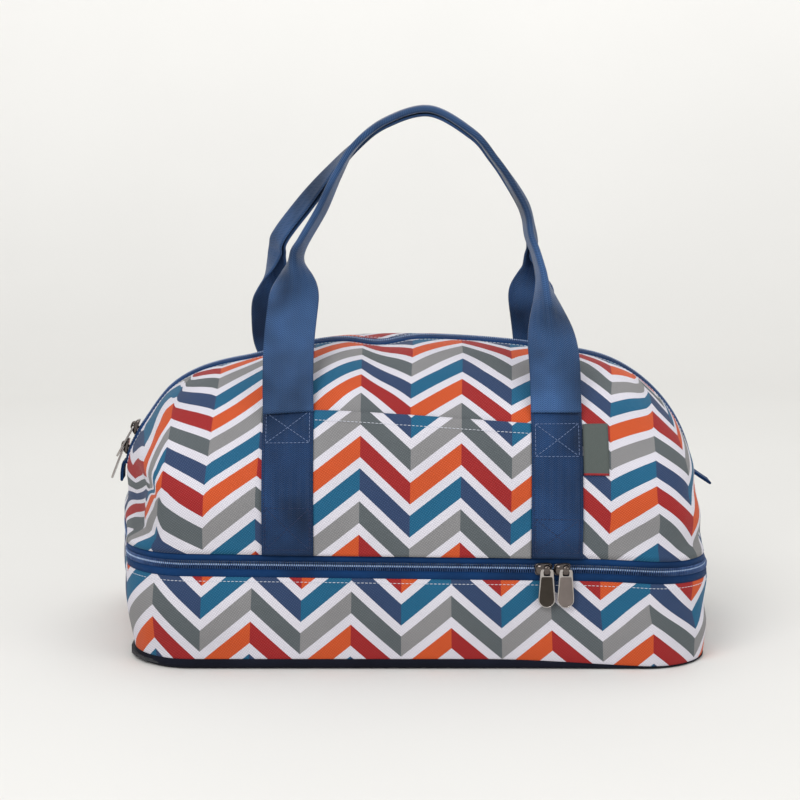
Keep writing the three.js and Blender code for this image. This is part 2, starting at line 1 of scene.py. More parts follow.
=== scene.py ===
# The casserole carrier dressed for rendering: every soft layer, zip, thread and metal part is built here
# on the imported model's frame. Metres. +X is right and -Y the front; the origin is on the floor.

import math

import bpy
import numpy as np
from mathutils import Matrix, Vector


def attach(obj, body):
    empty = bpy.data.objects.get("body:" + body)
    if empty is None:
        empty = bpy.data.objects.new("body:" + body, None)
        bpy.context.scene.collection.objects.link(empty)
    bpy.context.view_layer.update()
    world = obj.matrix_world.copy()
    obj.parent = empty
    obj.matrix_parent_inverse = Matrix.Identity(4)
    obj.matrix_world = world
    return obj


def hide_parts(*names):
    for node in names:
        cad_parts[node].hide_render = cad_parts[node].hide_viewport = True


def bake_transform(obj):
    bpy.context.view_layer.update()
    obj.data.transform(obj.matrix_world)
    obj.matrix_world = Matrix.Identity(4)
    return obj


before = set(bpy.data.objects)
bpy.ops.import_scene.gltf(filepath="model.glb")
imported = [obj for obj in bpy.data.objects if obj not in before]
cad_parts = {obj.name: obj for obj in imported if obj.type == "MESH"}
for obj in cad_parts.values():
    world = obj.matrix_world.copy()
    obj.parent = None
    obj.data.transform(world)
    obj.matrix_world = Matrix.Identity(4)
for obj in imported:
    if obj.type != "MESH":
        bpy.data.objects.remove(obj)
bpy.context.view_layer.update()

# Body, as in the part's source
HALF_WIDTH = 0.22
HALF_DEPTH = 0.125
CORNER = 0.05
RIDGE = 0.234
SHOULDER = 0.1
SHOULDER_START = 0.124
FULLNESS = 2.6
ZIP_END = 0.134
CHAIN = 0.078
FOOT = 0.0876
WALL_TOP = 0.0684
SKIN = 0.0016
CROWN_REACH = HALF_WIDTH - SHOULDER
CROWN_RISE = RIDGE - SHOULDER_START
CROWN = (CROWN_REACH**2 + CROWN_RISE**2 - SHOULDER**2) / (2 * (CROWN_RISE - SHOULDER))
CROWN_CENTRE = RIDGE - CROWN
CROWN_ANGLE = math.atan2(CROWN_REACH, SHOULDER_START - CROWN_CENTRE)

# Lengths along the outline seen from above, from the middle of the front
FRONT_RUN = HALF_WIDTH - CORNER
CORNER_RUN = CORNER * math.pi / 2
SIDE_EDGE = FRONT_RUN + CORNER_RUN
SIDE_RUN = 2 * (HALF_DEPTH - CORNER)
SIDE_MIDDLE = SIDE_EDGE + SIDE_RUN / 2
BACK_CORNER = SIDE_EDGE + SIDE_RUN
BACK_EDGE = BACK_CORNER + CORNER_RUN
BACK_MIDDLE = BACK_EDGE + FRONT_RUN

STRAP_X = (-0.095, 0.104)
WEB_HALF = 0.019
WEB_THICK = 0.002
TAPE_THICK = 0.0009
FOAM_THICK = 0.0038


def ramp(value, low, high):
    """0 below low, 1 above high, and smooth between."""
    share = np.clip((value - low) / (high - low), 0, 1)
    return share * share * (3 - 2 * share)


def hump(value, middle, width):
    return np.exp(-(((value - middle) / width) ** 2))


def unit(vectors):
    return vectors / np.maximum(np.linalg.norm(vectors, axis=-1, keepdims=True), 1e-9)


def lengths_along(path):
    """The length of a path as far as each of its points."""
    return np.concatenate([[0], np.cumsum(np.linalg.norm(np.diff(path, axis=0), axis=1))])


def points_at(marks, arc, path):
    """Points of a path at lengths along it."""
    return np.stack([np.interp(marks, arc, path[:, i]) for i in range(3)], -1)


def beside(*parts):
    """Numbers or arrays side by side, as a new last axis."""
    return np.stack(np.broadcast_arrays(*parts), -1)


def at_height(spots, level):
    return beside(spots[:, 0], spots[:, 1], level)


def settle(points):
    """How the soft bag sags, leans and creases: the points of any layer moved the same smooth way."""
    points = np.array(points, float)
    x, y, z = points[..., 0], points[..., 1], points[..., 2]
    lift = ramp(z, 0.004, 0.07)
    right = ramp(x, 0.10, 0.215)
    left = ramp(-x, 0.14, 0.22)
    high = ramp(z, 0.10, 0.15)
    behind = ramp(y, -0.09, 0.06) * ramp(z, 0.01, 0.05) * (1 - ramp(z, 0.089, 0.122))
    before = ramp(z, 0.0875, 0.098) * (1 - ramp(y, -0.075, -0.01))
    dx = 0.013 * ramp(x, 0.12, 0.2) * behind - 0.017 * ramp(-x, 0.12, 0.2) * behind
    dx += 0.014 * ramp(-x, 0.185, 0.215) * before * (1 - ramp(z, 0.125, 0.15))
    dx -= 0.004 * ramp(x, 0.185, 0.215) * before * (1 - ramp(z, 0.13, 0.15))
    dx -= 0.008 * left * ramp(y, -0.07, 0.0) * ramp(z, 0.095, 0.125) * (1 - ramp(z, 0.155, 0.19))
    dx -= 0.003 * left * hump(z, 0.148, 0.02)
    dx += 0.0075 * ramp(-x, 0.18, 0.21) * hump(z, 0.158, 0.022)
    dx += 0.005 * left * (1 - ramp(z, 0.0, 0.055)) - 0.002 * right * high
    dx += 0.0016 * right * np.sin(z * 130 + y * 14) * ramp(z, 0.01, 0.04) * (1 - high)
    dz = -0.0125 * x * lift - 0.003 * ramp(x, 0.12, 0.22) * lift
    dz -= 0.008 * hump(x, -0.14, 0.05) * ramp(z, 0.14, 0.21)
    dz -= 0.005 * hump(x, -0.028, 0.02) * ramp(z, 0.19, 0.225) * (1 - ramp(y, 0.0, 0.04))
    narrow = 0.16 * ramp(-x, 0.08, 0.19) + 0.10 * ramp(x, 0.10, 0.19)
    wave = np.sin(x * 21 + z * 34 + 0.6) + 0.6 * np.sin(x * 47 - z * 23 + 1.9)
    face = np.clip(np.abs(y) / HALF_DEPTH, 0, 1)
    dy = 0.0011 * wave * ramp(z, 0.09, 0.125) * np.sign(y) * face
    dy += 0.0008 * np.sin(x * 33 + 1.2) * ramp(z, 0.01, 0.03) * (1 - ramp(z, 0.06, 0.07)) * np.sign(y) * face
    points[..., 0] = x + dx
    points[..., 1] = (y + dy) * (1 - narrow * ramp(z, 0.12, 0.2))
    points[..., 2] = z + dz
    return points


# Surfaces


def ridge_height(x, inset=0.0):
    across = np.abs(x)
    crown = CROWN - inset
    shoulder = SHOULDER - inset
    on_crown = CROWN_CENTRE + np.sqrt(np.maximum(crown**2 - across**2, 0))
    on_shoulder = SHOULDER_START + np.sqrt(np.maximum(shoulder**2 - (across - CROWN_REACH) ** 2, 0))
    return np.where(across < crown * math.sin(CROWN_ANGLE), on_crown, on_shoulder)


def outline(u, inset=0.0):
    """Points and outward normals of the outline at lengths u from the middle of the front, right positive."""
    run = np.abs(u)
    radius = CORNER - inset
    turn = np.clip((run - FRONT_RUN) / CORNER_RUN, 0, 1) + np.clip((run - BACK_CORNER) / CORNER_RUN, 0, 1)
    turn = turn * math.pi / 2
    nx, ny = np.sin(turn), -np.cos(turn)
    front = np.clip(run, 0, FRONT_RUN) - np.clip(run - BACK_EDGE, 0, FRONT_RUN)
    side = np.clip(run - SIDE_EDGE, 0, SIDE_RUN) - SIDE_RUN / 2
    x = front + nx * radius
    y = side + ny * radius
    sign = np.where(u < 0, -1.0, 1.0)
    return beside(x * sign, y), beside(nx * sign, ny)


def slice_foot(u, inset):
    """Foot and top of the dome's upright slice at length u along the front half's outline."""
    spots, _ = outline(u, inset)
    x, y = spots[..., 0], -spots[..., 1]
    side = np.clip((SIDE_MIDDLE - np.abs(u)) / (SIDE_RUN / 2), 0, 1)
    top = np.where(side < 1, FOOT + (SHOULDER_START - FOOT) * side, ridge_height(x, inset))
    return x, np.maximum(y, 1e-5), top


def depth_at(x, z):
    """Distance of the dome's outside from the middle plane."""
    across = np.abs(x)
    turn = np.clip((across - FRONT_RUN) / CORNER, 0, 1)
    foot = HALF_DEPTH - CORNER + CORNER * np.sqrt(np.maximum(1 - turn**2, 0))
    top = ridge_height(x)
    up = np.clip((z - FOOT) / (top - FOOT), 0, 1)
    return foot * (1 - up**FULLNESS) ** (1 / FULLNESS)


def front_point(x, z, out):
    """Points on the front of the dome, out from its surface, with their normals."""
    x, z = np.broadcast_arrays(np.asarray(x, float), np.asarray(z, float))
    step = 0.0005
    at = beside(x, -depth_at(x, z), z)
    right = beside(x + step, -depth_at(x + step, z), z) - at
    up = beside(x, -depth_at(x, z + step), z + step) - at
    normal = unit(np.cross(right, up))
    return at + normal * np.asarray(out)[..., None], normal


def dome_grid(us, rows, inset, slot):
    """A grid on the front half of the dome: even steps up each slice, as far as the slot beside the zip."""
    x, foot, top = slice_foot(us, inset)
    end = slot * ramp(top, ZIP_END - 0.001, ZIP_END + 0.004)
    last = np.arccos(np.clip(end / foot, 0, 1) ** (FULLNESS / 2))
    turn = np.linspace(0, 1, 300)[None, :] ** 1.3 * last[:, None]
    y = foot[:, None] * np.cos(turn) ** (2 / FULLNESS)
    z = FOOT + (top - FOOT)[:, None] * np.sin(turn) ** (2 / FULLNESS)
    points, arcs = [], []
    for line in beside(x[:, None], -y, z):
        arc = lengths_along(line)
        arcs.append(np.linspace(0, arc[-1], rows))
        points.append(points_at(arcs[-1], arc, line))
    return np.array(points), np.array(arcs)


def print_place(points, arcs):
    """Where each point of the dome lies on the flat printed cloth."""
    x, y, z = np.abs(points[..., 0]), np.abs(points[..., 1]), points[..., 2]
    share = np.sin(np.linspace(0, math.pi / 2, 24))
    spots = FRONT_RUN + np.maximum(x - FRONT_RUN, 0)[..., None] * share
    depths = depth_at(spots, z[..., None])
    around = np.hypot(np.diff(spots, axis=-1), np.diff(depths, axis=-1)).sum(-1)
    level = np.minimum(x, FRONT_RUN) + around
    level += np.where(x > HALF_WIDTH - 1e-5, np.maximum(depths[..., -1] - y, 0), 0)
    rise = np.clip((z - SHOULDER_START) / SHOULDER, 0, 1)
    up_side = np.minimum(z, SHOULDER_START) + SHOULDER * np.arcsin(rise)
    side = np.clip((x - FRONT_RUN) / CORNER, 0, 1) ** 2
    up = (0.088 + arcs) * (1 - side) + up_side * side
    return beside(level * np.sign(points[..., 0] + 1e-9), up)


# Meshes


MIRROR = np.array([1, -1, 1])


def new_object(name, data):
    thing = bpy.data.objects.new(name, data)
    bpy.context.scene.collection.objects.link(thing)
    return thing


def mesh_object(name, points, faces, material, uvs=None):
    """A smooth mesh. Places on the cloth come in twos, or in fours where the weave has its own."""
    mesh = bpy.data.meshes.new(name)
    mesh.from_pydata(np.reshape(points, (-1, 3)).tolist(), [], faces)
    if uvs is not None:
        corners = np.zeros(len(mesh.loops), int)
        mesh.loops.foreach_get("vertex_index", corners)
        places = np.reshape(uvs, (-1, np.shape(uvs)[-1]))[corners]
        for map_name, part in (("cloth", places[:, :2]), ("weave", places[:, -2:])):
            mesh.uv_layers.new(name=map_name).data.foreach_set("uv", part.ravel())
    mesh.polygons.foreach_set("use_smooth", [True] * len(mesh.polygons))
    mesh.update()
    mesh.materials.append(material)
    return new_object(name, mesh)


def turned(points, face):
    return points if face == "front" else points * MIRROR


def slab(name, outer, inner, material, uvs, face="front", closed=False, flip=False):
    """A closed layer between two grids, made as for the front, put on its face and sagged with the bag."""
    rows = outer.shape[1]
    loops = settle(turned(np.concatenate([outer, inner[:, ::-1]], 1), face))
    number = np.arange(loops.shape[0] * loops.shape[1]).reshape(loops.shape[:2])
    ahead = np.roll(number, -1, 0)
    skin = beside(number, ahead, np.roll(ahead, -1, 1), np.roll(number, -1, 1))
    parts = [skin if closed else skin[:-1]]
    if not closed:
        ends = number[[0, -1]]
        back = ends[:, ::-1]
        caps = beside(ends[:, : rows - 1], ends[:, 1:rows], back[:, 1:rows], back[:, : rows - 1])
        parts += [caps[0], caps[1, :, ::-1]]
    faces = np.concatenate([part.reshape(-1, 4) for part in parts])
    if flip != (face == "back"):
        faces = faces[:, ::-1]
    places = np.concatenate([uvs, uvs[:, ::-1]], 1)
    return mesh_object(name, loops, faces.tolist(), material, places)


def ring_grid(us, levels, insets):
    """A grid round the outline: each row has its own height and inset."""
    return np.stack([at_height(outline(us, inset)[0], level) for level, inset in zip(levels, insets)], 1)


def copies(faces, count, size):
    """The faces of many copies of a shape, each of which has so many points."""
    return [tuple(size * i + v for v in face) for i in range(count) for face in faces]


def scatter(name, shape, faces, origins, axes, material):
    """Many copies of a small shape in one mesh; axes are three unit vectors for each copy."""
    points = np.einsum("nij,kj->nki", axes, shape) + origins[:, None, :]
    return mesh_object(name, points, copies(faces, len(origins), len(shape)), material)


def tube_faces(rings, sides):
    faces = []
    for i in range(0, (rings - 1) * sides, sides):
        for j in range(sides):
            k = (j + 1) % sides
            faces.append((i + j, i + k, i + sides + k, i + sides + j))
    end = (rings - 1) * sides
    return faces + [tuple(range(sides))[::-1], tuple(range(end, end + sides))]


def stitches(name, path, normals, material):
    """A row of thread stitches on a line; each comes up out of the cloth and dives back into it."""
    pitch, length, radius = 0.0030, 0.0022, 0.00021
    arc = lengths_along(path)
    count = max(1, int((arc[-1] + pitch - length) / pitch))
    along = np.arange(count)[:, None] * pitch + np.array([0, 0.2, 0.5, 0.8, 1]) * length
    at = points_at(along, arc, path)
    up = unit(points_at(along, arc, normals))
    side = np.cross(unit(at[:, -1:] - at[:, :1]), up)
    rise = np.array([-0.8, 0.5, 0.75, 0.5, -0.8]) * radius
    girth = np.array([0.6, 1, 1.1, 1, 0.6]) * radius
    turn = np.arange(6)[:, None] * math.pi / 3
    centre = at + up * rise[:, None]
    spokes = np.cos(turn) * side[:, :, None] + np.sin(turn) * up[:, :, None]
    rings = centre[:, :, None] + girth[:, None, None] * spokes
    return mesh_object(name, rings, copies(tube_faces(5, 6), count, 30), material)


def dress(thing, body, *nodes):
    """Attaches a finished piece to the body it rides on and hides the solids that it stands for."""
    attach(thing, body)
    finish(thing, *nodes)


def finish(thing, *nodes):
    """Hides the solids that a piece stands for."""
    if nodes:
        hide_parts(*nodes)


# Materials


def linear(color):
    """A colour written as 0 to 255, as Blender's shaders take it."""
    parts = [value / 255 for value in color]
    return [p / 12.92 if p < 0.04045 else ((p + 0.055) / 1.055) ** 2.4 for p in parts] + [1.0]


class Shade:
    """One material and short ways to add nodes to it."""

    def __init__(self, name, roughness, metallic=0.0, sheen=0.0, gloss=0.2):
        self.material = bpy.data.materials.new(name)
        self.material.use_nodes = True
        self.tree = self.material.node_tree
        self.sockets = self.tree.nodes["Principled BSDF"].inputs
        values = {"Roughness": roughness, "Metallic": metallic, "Sheen Weight": sheen, "Sheen Roughness": 0.5}
        values["Specular IOR Level"] = 0.5 if metallic else gloss
        for key, value in values.items():
            self.sockets[key].default_value = value

    def node(self, kind, **settings):
        made = self.tree.nodes.new(kind)
        for key, value in settings.items():
            setattr(made, key, value)
        return made

    def put(self, value, socket):
        if isinstance(value, bpy.types.NodeSocket):
            self.tree.links.new(value, socket)
        else:
            socket.default_value = value

    def maths(self, operation, *values):
        made = self.node("ShaderNodeMath", operation=operation)
        for value, socket in zip(values, made.inputs):
            self.put(value, socket)
        return made.outputs[0]

    def mix(self, factor, first, second, blend="MIX"):
        made = self.node("ShaderNodeMix", data_type="RGBA", blend_type=blend)
        self.put(factor, made.inputs[0])
        self.put(first, made.inputs[6])
        self.put(second, made.inputs[7])
        return made.outputs[2]

    def cloth_place(self, map_name="cloth"):
        """The place on the flat cloth, in millimetres."""
        split = self.parts(self.node("ShaderNodeUVMap", uv_map=map_name).outputs[0])
        return self.maths("MULTIPLY", split[0], 1000), self.maths("MULTIPLY", split[1], 1000)

    def parts(self, vector):
        split = self.node("ShaderNodeSeparateXYZ")
        self.put(vector, split.inputs[0])
        return split.outputs

    def space(self):
        return self.node("ShaderNodeTexCoord").outputs["Object"]

    def noise(self, scale, detail=3.0):
        made = self.node("ShaderNodeTexNoise")
        made.inputs["Scale"].default_value = scale
        made.inputs["Detail"].default_value = detail
        self.put(self.space(), made.inputs["Vector"])
        return made.outputs["Fac"]

    def wave(self, value, pitch):
        """A smooth 0 to 1 wave along a value."""
        turned = self.maths("SINE", self.maths("MULTIPLY", value, 2 * math.pi / pitch))
        return self.maths("MULTIPLY_ADD", turned, 0.5, 0.5)

    def ramp(self, value, stops, constant=False):
        made = self.node("ShaderNodeValToRGB")
        made.color_ramp.interpolation = "CONSTANT" if constant else "LINEAR"
        elements = made.color_ramp.elements
        while len(elements) < len(stops):
            elements.new(0.5)
        for element, (place, color) in zip(elements, stops):
            element.position = place
            element.color = color
        self.put(value, made.inputs[0])
        return made.outputs[0]

    def tint(self, color, value, stops):
        """A colour multiplied by what a ramp from one tone to another gives for a value."""
        return self.mix(1.0, color, self.ramp(value, [(place, (*tone, 1)) for place, tone in stops]), "MULTIPLY")

    def bump(self, height, distance, strength):
        made = self.node("ShaderNodeBump")
        made.inputs["Distance"].default_value = distance
        made.inputs["Strength"].default_value = strength
        self.put(height, made.inputs["Height"])
        self.put(made.outputs[0], self.sockets["Normal"])

    def color(self, value):
        self.put(value, self.sockets["Base Color"])


PEAK_PERIOD = 74.5
STRIPE_SLOPE = 0.871
STRIPE_CYCLE = 73.5
WHITE = linear((240, 237, 244))
LIGHT_STRIPES = ((150, 149, 148), (224, 88, 28), (0, 102, 140))
DARK_STRIPES = ((96, 104, 106), (172, 26, 26), (42, 68, 108))
STRIPE = 16
STRIPE_STEP = 24.5
DOWNWARDS = (0, 1, 2)
UPWARDS = (0, 2, 1)


def stripe_stops(colors, order):
    stops = []
    for index, which in enumerate(order):
        place = STRIPE_STEP * index
        stops.append((place / STRIPE_CYCLE, linear(colors[which])))
        stops.append(((place + STRIPE) / STRIPE_CYCLE, WHITE))
    return stops


def printed_cloth(name, peak, rise, order):
    """Zigzag stripes printed on a coarse polyester weave. peak and rise place the pattern, in millimetres."""
    shade = Shade(name, 0.62, sheen=0.03)
    u, v = shade.cloth_place()
    phase = shade.maths("MULTIPLY_ADD", u, 1 / PEAK_PERIOD, 100.5 - peak / PEAK_PERIOD)
    cell = shade.maths("SUBTRACT", shade.maths("FRACT", phase), 0.5)
    up = shade.maths("MULTIPLY_ADD", shade.maths("ABSOLUTE", cell), PEAK_PERIOD * STRIPE_SLOPE, v)
    place = shade.maths("FRACT", shade.maths("MULTIPLY_ADD", up, -1 / STRIPE_CYCLE, 100 + rise / STRIPE_CYCLE))
    light = shade.ramp(place, stripe_stops(LIGHT_STRIPES, order), constant=True)
    dark = shade.ramp(place, stripe_stops(DARK_STRIPES, order), constant=True)
    ink = shade.mix(shade.maths("GREATER_THAN", cell, 0), light, dark)
    height = weave(shade, *shade.cloth_place("weave"), 1.25)
    dots = shade.maths("POWER", height, 3.0)
    ink = shade.mix(shade.maths("MULTIPLY", dots, 0.12), ink, WHITE)
    # Painted shade: the ink is darkened in the weave's valleys; the pale dots on the crests are the weave's white
    # threads.
    ink = shade.tint(ink, height, [(0.0, (0.58, 0.58, 0.62)), (0.45, (1, 1, 1))])
    broad = shade.noise(26.0)
    shade.color(shade.tint(ink, broad, [(0.3, (0.92,) * 3), (0.7, (1, 1, 1))]))
    shade.bump(shade.maths("MULTIPLY_ADD", broad, 9.0, height), 0.0003, 0.7)
    return shade.material


def weave(shade, u, v, pitch):
    """Height of a plain weave: threads over and under each other."""
    across = shade.wave(shade.maths("ADD", u, shade.maths("MULTIPLY", v, 0.5)), pitch)
    along = shade.wave(shade.maths("SUBTRACT", v, shade.maths("MULTIPLY", u, 0.5)), pitch)
    return shade.maths("MULTIPLY", across, along)


def ribbed_cloth(name, color, crest_highlight, pitch, roughness, gloss, depth, change=0.35):
    """Navy webbing or tape: fine slanted ribs whose crests are painted lighter as a highlight, with a slow change of
    tone that is painted mottled sheen.
    """
    shade = Shade(name, roughness, sheen=0.02, gloss=gloss)
    u, v = shade.cloth_place()
    fold = shade.maths("PINGPONG", shade.maths("ADD", u, 1000), 3.2)
    ribs = shade.wave(shade.maths("ADD", v, shade.maths("MULTIPLY", fold, 0.8)), pitch)
    threads = shade.wave(u, pitch * 0.8)
    height = shade.maths("MULTIPLY_ADD", threads, 0.35, ribs)
    # Painted highlight: the rib crests take the lighter colour.
    tone = shade.ramp(height, [(0.1, linear(color)), (1.2, linear(crest_highlight))])
    # Painted sheen: the slow change of tone stands for mottled gloss, together with some random change of tone.
    painted_sheen_range = [(0.3, (1 - change,) * 3), (0.7, (1 + change * 0.8,) * 3)]
    shade.color(shade.tint(tone, shade.noise(22.0, 2.0), painted_sheen_range))
    shade.bump(height, depth, 0.8)
    return shade.material


def speckled(name, color, second, scale, roughness, metallic=0.0, depth=0.0001, gloss=0.3):
    """A material whose tone and surface vary with a fine noise."""
    shade = Shade(name, roughness, metallic, gloss=gloss)
    grain = shade.noise(scale, 5.0)
    shade.color(shade.ramp(grain, [(0.3, linear(color)), (0.7, linear(second))]))
    shade.bump(grain, depth, 0.6)
    return shade.material


def metal(name, color, second, roughness):
    """Plated zinc: fine wear, small scratches and a slight change of polish."""
    shade = Shade(name, roughness, 1.0)
    grain = shade.noise(900.0, 6.0)
    cloud = shade.noise(120.0)
    shade.color(shade.mix(cloud, linear(color), linear(second)))
    low = shade.maths("MULTIPLY_ADD", grain, 0.18, roughness - 0.09)
    shade.put(low, shade.sockets["Roughness"])
    shade.bump(grain, 0.00003, 0.5)
    return shade.material


def thread(name, color, second):
    shade = Shade(name, 0.55, sheen=0.2)
    shade.color(shade.ramp(shade.noise(1500.0), [(0.35, linear(color)), (0.65, linear(second))]))
    shade.bump(shade.noise(2600.0), 0.0001, 0.6)
    return shade.material


def label_cloth(name, bottom):
    """Plain grey ribbon, bare, with a thin red line woven in along its foot."""
    shade = Shade(name, 0.8, sheen=0.02)
    u, v = shade.cloth_place()
    height = weave(shade, u, v, 0.7)
    # Painted shade: the weave's hollows take the darker grey.
    grey = shade.ramp(height, [(0.0, linear((70, 78, 76))), (1.0, linear((112, 116, 112)))])
    line = shade.maths("LESS_THAN", v, bottom)
    shade.color(shade.mix(line, grey, linear((150, 45, 50))))
    shade.bump(height, 0.00012, 0.7)
    return shade.material


PRINT_UPPER = printed_cloth("printed_upper", -41.5, 281.0, UPWARDS)
PRINT_POCKET = printed_cloth("printed_pocket", -41.7, 124.3, DOWNWARDS)
PRINT_LOWER = printed_cloth("printed_lower", -48.4, 57.8, DOWNWARDS)
# The second colour of each ribbed cloth is the painted highlight on its rib crests.
WEBBING = ribbed_cloth("navy_webbing", (18, 42, 80), (58, 90, 132), 1.5, 0.34, 0.16, 0.0003, 0.55)
# Painted shade: the straps use a darker copy of the handles' webbing.
SHADED_STRAP_WEBBING = ribbed_cloth("navy_strap_webbing_painted_shade", (8, 30, 62), (34, 64, 104), 1.5, 0.38, 0.14, 0.0003, 0.55)
TAPE = ribbed_cloth("navy_tape", (2, 38, 80), (14, 58, 106), 0.9, 0.6, 0.12, 0.0002)
# The base panel is painted near black: its own navy, darkened further by painted contact shadow along the foot.
PANEL_AND_SHADOW = ribbed_cloth("navy_panel", (10, 12, 22), (20, 24, 38), 1.2, 0.7, 0.1, 0.0002)
FOAM = speckled("foam", (226, 222, 214), (240, 238, 232), 260.0, 0.9, depth=0.0003)
LINING = speckled("lining", (176, 182, 188), (196, 200, 205), 60.0, 0.38, depth=0.0004)
BOARD = speckled("board", (40, 42, 46), (58, 60, 64), 380.0, 0.7)
COIL = speckled("coil", (26, 54, 100), (58, 90, 140), 300.0, 0.3, gloss=0.4)
# Painted glints: a paler copy of the coil for the heads of its turns.
COIL_GLINT = speckled("coil_painted_glint", (140, 166, 206), (176, 198, 226), 300.0, 0.25, gloss=0.6)
NICKEL = metal("dark_nickel", (112, 104, 100), (78, 71, 67), 0.16)
# Painted highlight: the pulls' rims and backs use a brighter copy of the dark nickel, for the bright lines along
# their edges.
RIM_HIGHLIGHT = metal("nickel_rim_painted_highlight", (196, 190, 186), (150, 144, 140), 0.18)
# Painted light: the pulls' recessed faces are one finish, in a shaded copy and a lit copy.
FACE_SHADED = metal("nickel_face_painted_shade", (74, 68, 62), (58, 53, 48), 0.42)
FACE_LIT = metal("nickel_face_painted_light", (136, 126, 122), (112, 104, 100), 0.38)
THREAD_LIGHT = thread("thread_light", (196, 202, 216), (222, 224, 232))
THREAD_BLUE = thread("thread_blue", (86, 106, 146), (124, 142, 178))
THREAD_NAVY = thread("thread_navy", (16, 30, 66), (34, 54, 98))
LABEL = label_cloth("label_tape", 149.0)

# Outer cloth and the layers inside it

FRONT_US = np.concatenate(
    [
        np.linspace(-SIDE_MIDDLE, -SIDE_EDGE, 13)[:-1],
        np.linspace(-SIDE_EDGE, -FRONT_RUN, 27)[:-1],
        np.linspace(-FRONT_RUN, FRONT_RUN, 91),
        np.linspace(FRONT_RUN, SIDE_EDGE, 27)[1:],
        np.linspace(SIDE_EDGE, SIDE_MIDDLE, 13)[1:],
    ]
)
PRINT_TILT = 0.03

# How the print on the upper panels is drawn out of true where they are gathered: at fifteen places across
# and ten up, in millimetres on the cloth, how much higher and how much further right a point of it lies
DRAWN_ACROSS = (-323, -280, -250, -221, -207, -197, -188, -153, -41, -4, 35, 72, 146, 180, 250)
DRAWN_UP = (90, 105, 124, 132, 148, 160, 185, 210, 235, 260)
DRAWN_RISE = (
    (73.5,) * 10,
    (35, 50, 88, 94, 91, 73, 52, 45, 40, 40),
    (11, 20, 50, 70, 74, 57, 44, 21.5, 0, -15),
    (11, 10.5, 13, 50, 57, 51, 32, 11, -6, -15),
    (11, 10.5, 10.5, 43, 46.5, 39, 35, 15, 2, -5),
    (11, 10.5, 10.8, 15, 35, 33, 34, 24, 18, 15),
    (11, 10.5, 11.3, 12.3, 17.3, 22, 29.3, 27.5, 26, 26),
    (-1, -1, -1, -0.7, 2, 4, 8.5, 11, 9, 8),
    (0, 0, 0, 0, 0, 0, -1, -4.5, -1, 2),
    (0, 0, 0, 0, 0, 0, -1, 2, 5, 3),
    (0, 0, 0, 0, 0, 0, 1, 4, 6, 3),
    (0, 0, 0, 0, 0, 0, 2, 5, 5, -1),
    (0, 0, 0, 0.2, 1.8, 3, 9, 12.5, 11, 0),
    (2, 3.9, 6.2, 7.6, 12.4, 16, 22, 20, 15, 10),
    (0,) * 10,
)
DRAWN_SHIFT = (
    (74.5,) * 10,
    (20, 25, 28, 28, 28, 44, 56, 56, 56, 56),
    (8, 8, 5, 4, 6, 21, 29, 28, 26, 26),
    (8, 12, 5, -7, -7, -3, -1, -1, 0, 0),
    (8, 11, 6, -5, -5.5, -5, -3, -1, 0, 0),
    (8, 9, 5, -2, -4, -4.5, -4, 1.5, 2, 2),
    (8, 8, 3, -1.5, -3.5, -4, -3.3, 3, 3, 3),
    (4, 4, 4, 3.8, 2.2, 1, -0.5, -2, -3, -3),
    (0, 0, 0, 0, 0, 0, 0, -0.5, -0.5, -0.5),
    (0, 0, 0, 0, 0, 0, 0, -0.3, -1, -2),
    (0, 0, 0, 0, 0, 0, -0.5, -1, -2, -3),
    (0, 0, 0, 0, 0, 0, 0, -1, -2, -3),
    (3, 2.2, 1.3, 0.9, 0.4, 0, 0, -2.5, -4, -5),
    (2, 2.4, 2.8, 2.9, 2.4, 2, 1, -4, -15, -15),
    (0,) * 10,
)


def table_at(table, across, up):
    """A table's value between its places, for each point."""
    rows = np.stack([np.interp(up, DRAWN_UP, row) for row in table], -1)
    place = np.interp(across, DRAWN_ACROSS, np.arange(len(DRAWN_ACROSS)))
    low = np.minimum(place.astype(int), len(DRAWN_ACROSS) - 2)
    share = place - low
    first = np.take_along_axis(rows, low[..., None], -1)[..., 0]
    second = np.take_along_axis(rows, low[..., None] + 1, -1)[..., 0]
    return first * (1 - share) + second * share


def drawn(uvs, share):
    """Places on an upper panel's cloth, in the print, moved by a share of what the gathers do, and in the weave."""
    across, up = uvs[..., 0] * 1000, uvs[..., 1] * 1000
    rise = table_at(DRAWN_RISE, across, up) / 1000 * share
    shift = table_at(DRAWN_SHIFT, across, up) / 1000 * share
    tilted = uvs[..., 1] + PRINT_TILT * uvs[..., 0]
    return beside(uvs[..., 0] + shift, tilted + rise, uvs[..., 0], uvs[..., 1])


def dome_layer(name, face, material, outside, thick, slot, rows=64, lip=False, drop=0.0):
    """One soft layer of the dome's front or back half, from the zip between the decks to the top zip."""
    outer, arcs = dome_grid(FRONT_US, rows, outside, slot)
    inner, _ = dome_grid(FRONT_US, rows, outside + thick, slot)
    uvs = drawn(print_place(outer, arcs), 1.0 if face == "front" else 0.0)
    if drop:
        outer[:, 0, 2] -= drop
        inner[:, 0, 2] -= drop
        uvs[:, 0, 1] -= drop
    if lip:
        edge, _ = dome_grid(FRONT_US, rows, 0.0014, slot)
        for row, share in ((rows - 1, 1.0), (rows - 2, 0.75), (rows - 3, 0.3)):
            outer[:, row] += (edge[:, row] - outer[:, row]) * share
            inner[:, row] += (edge[:, row] - inner[:, row]) * share * 0.9
    return slab(name, outer, inner, material, uvs, face)


def fold_with(thing, face, *nodes):
    """Bakes a piece of the upper deck in place and hides the solids that it stands for. The face is not used."""
    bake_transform(thing)
    finish(thing, *nodes)


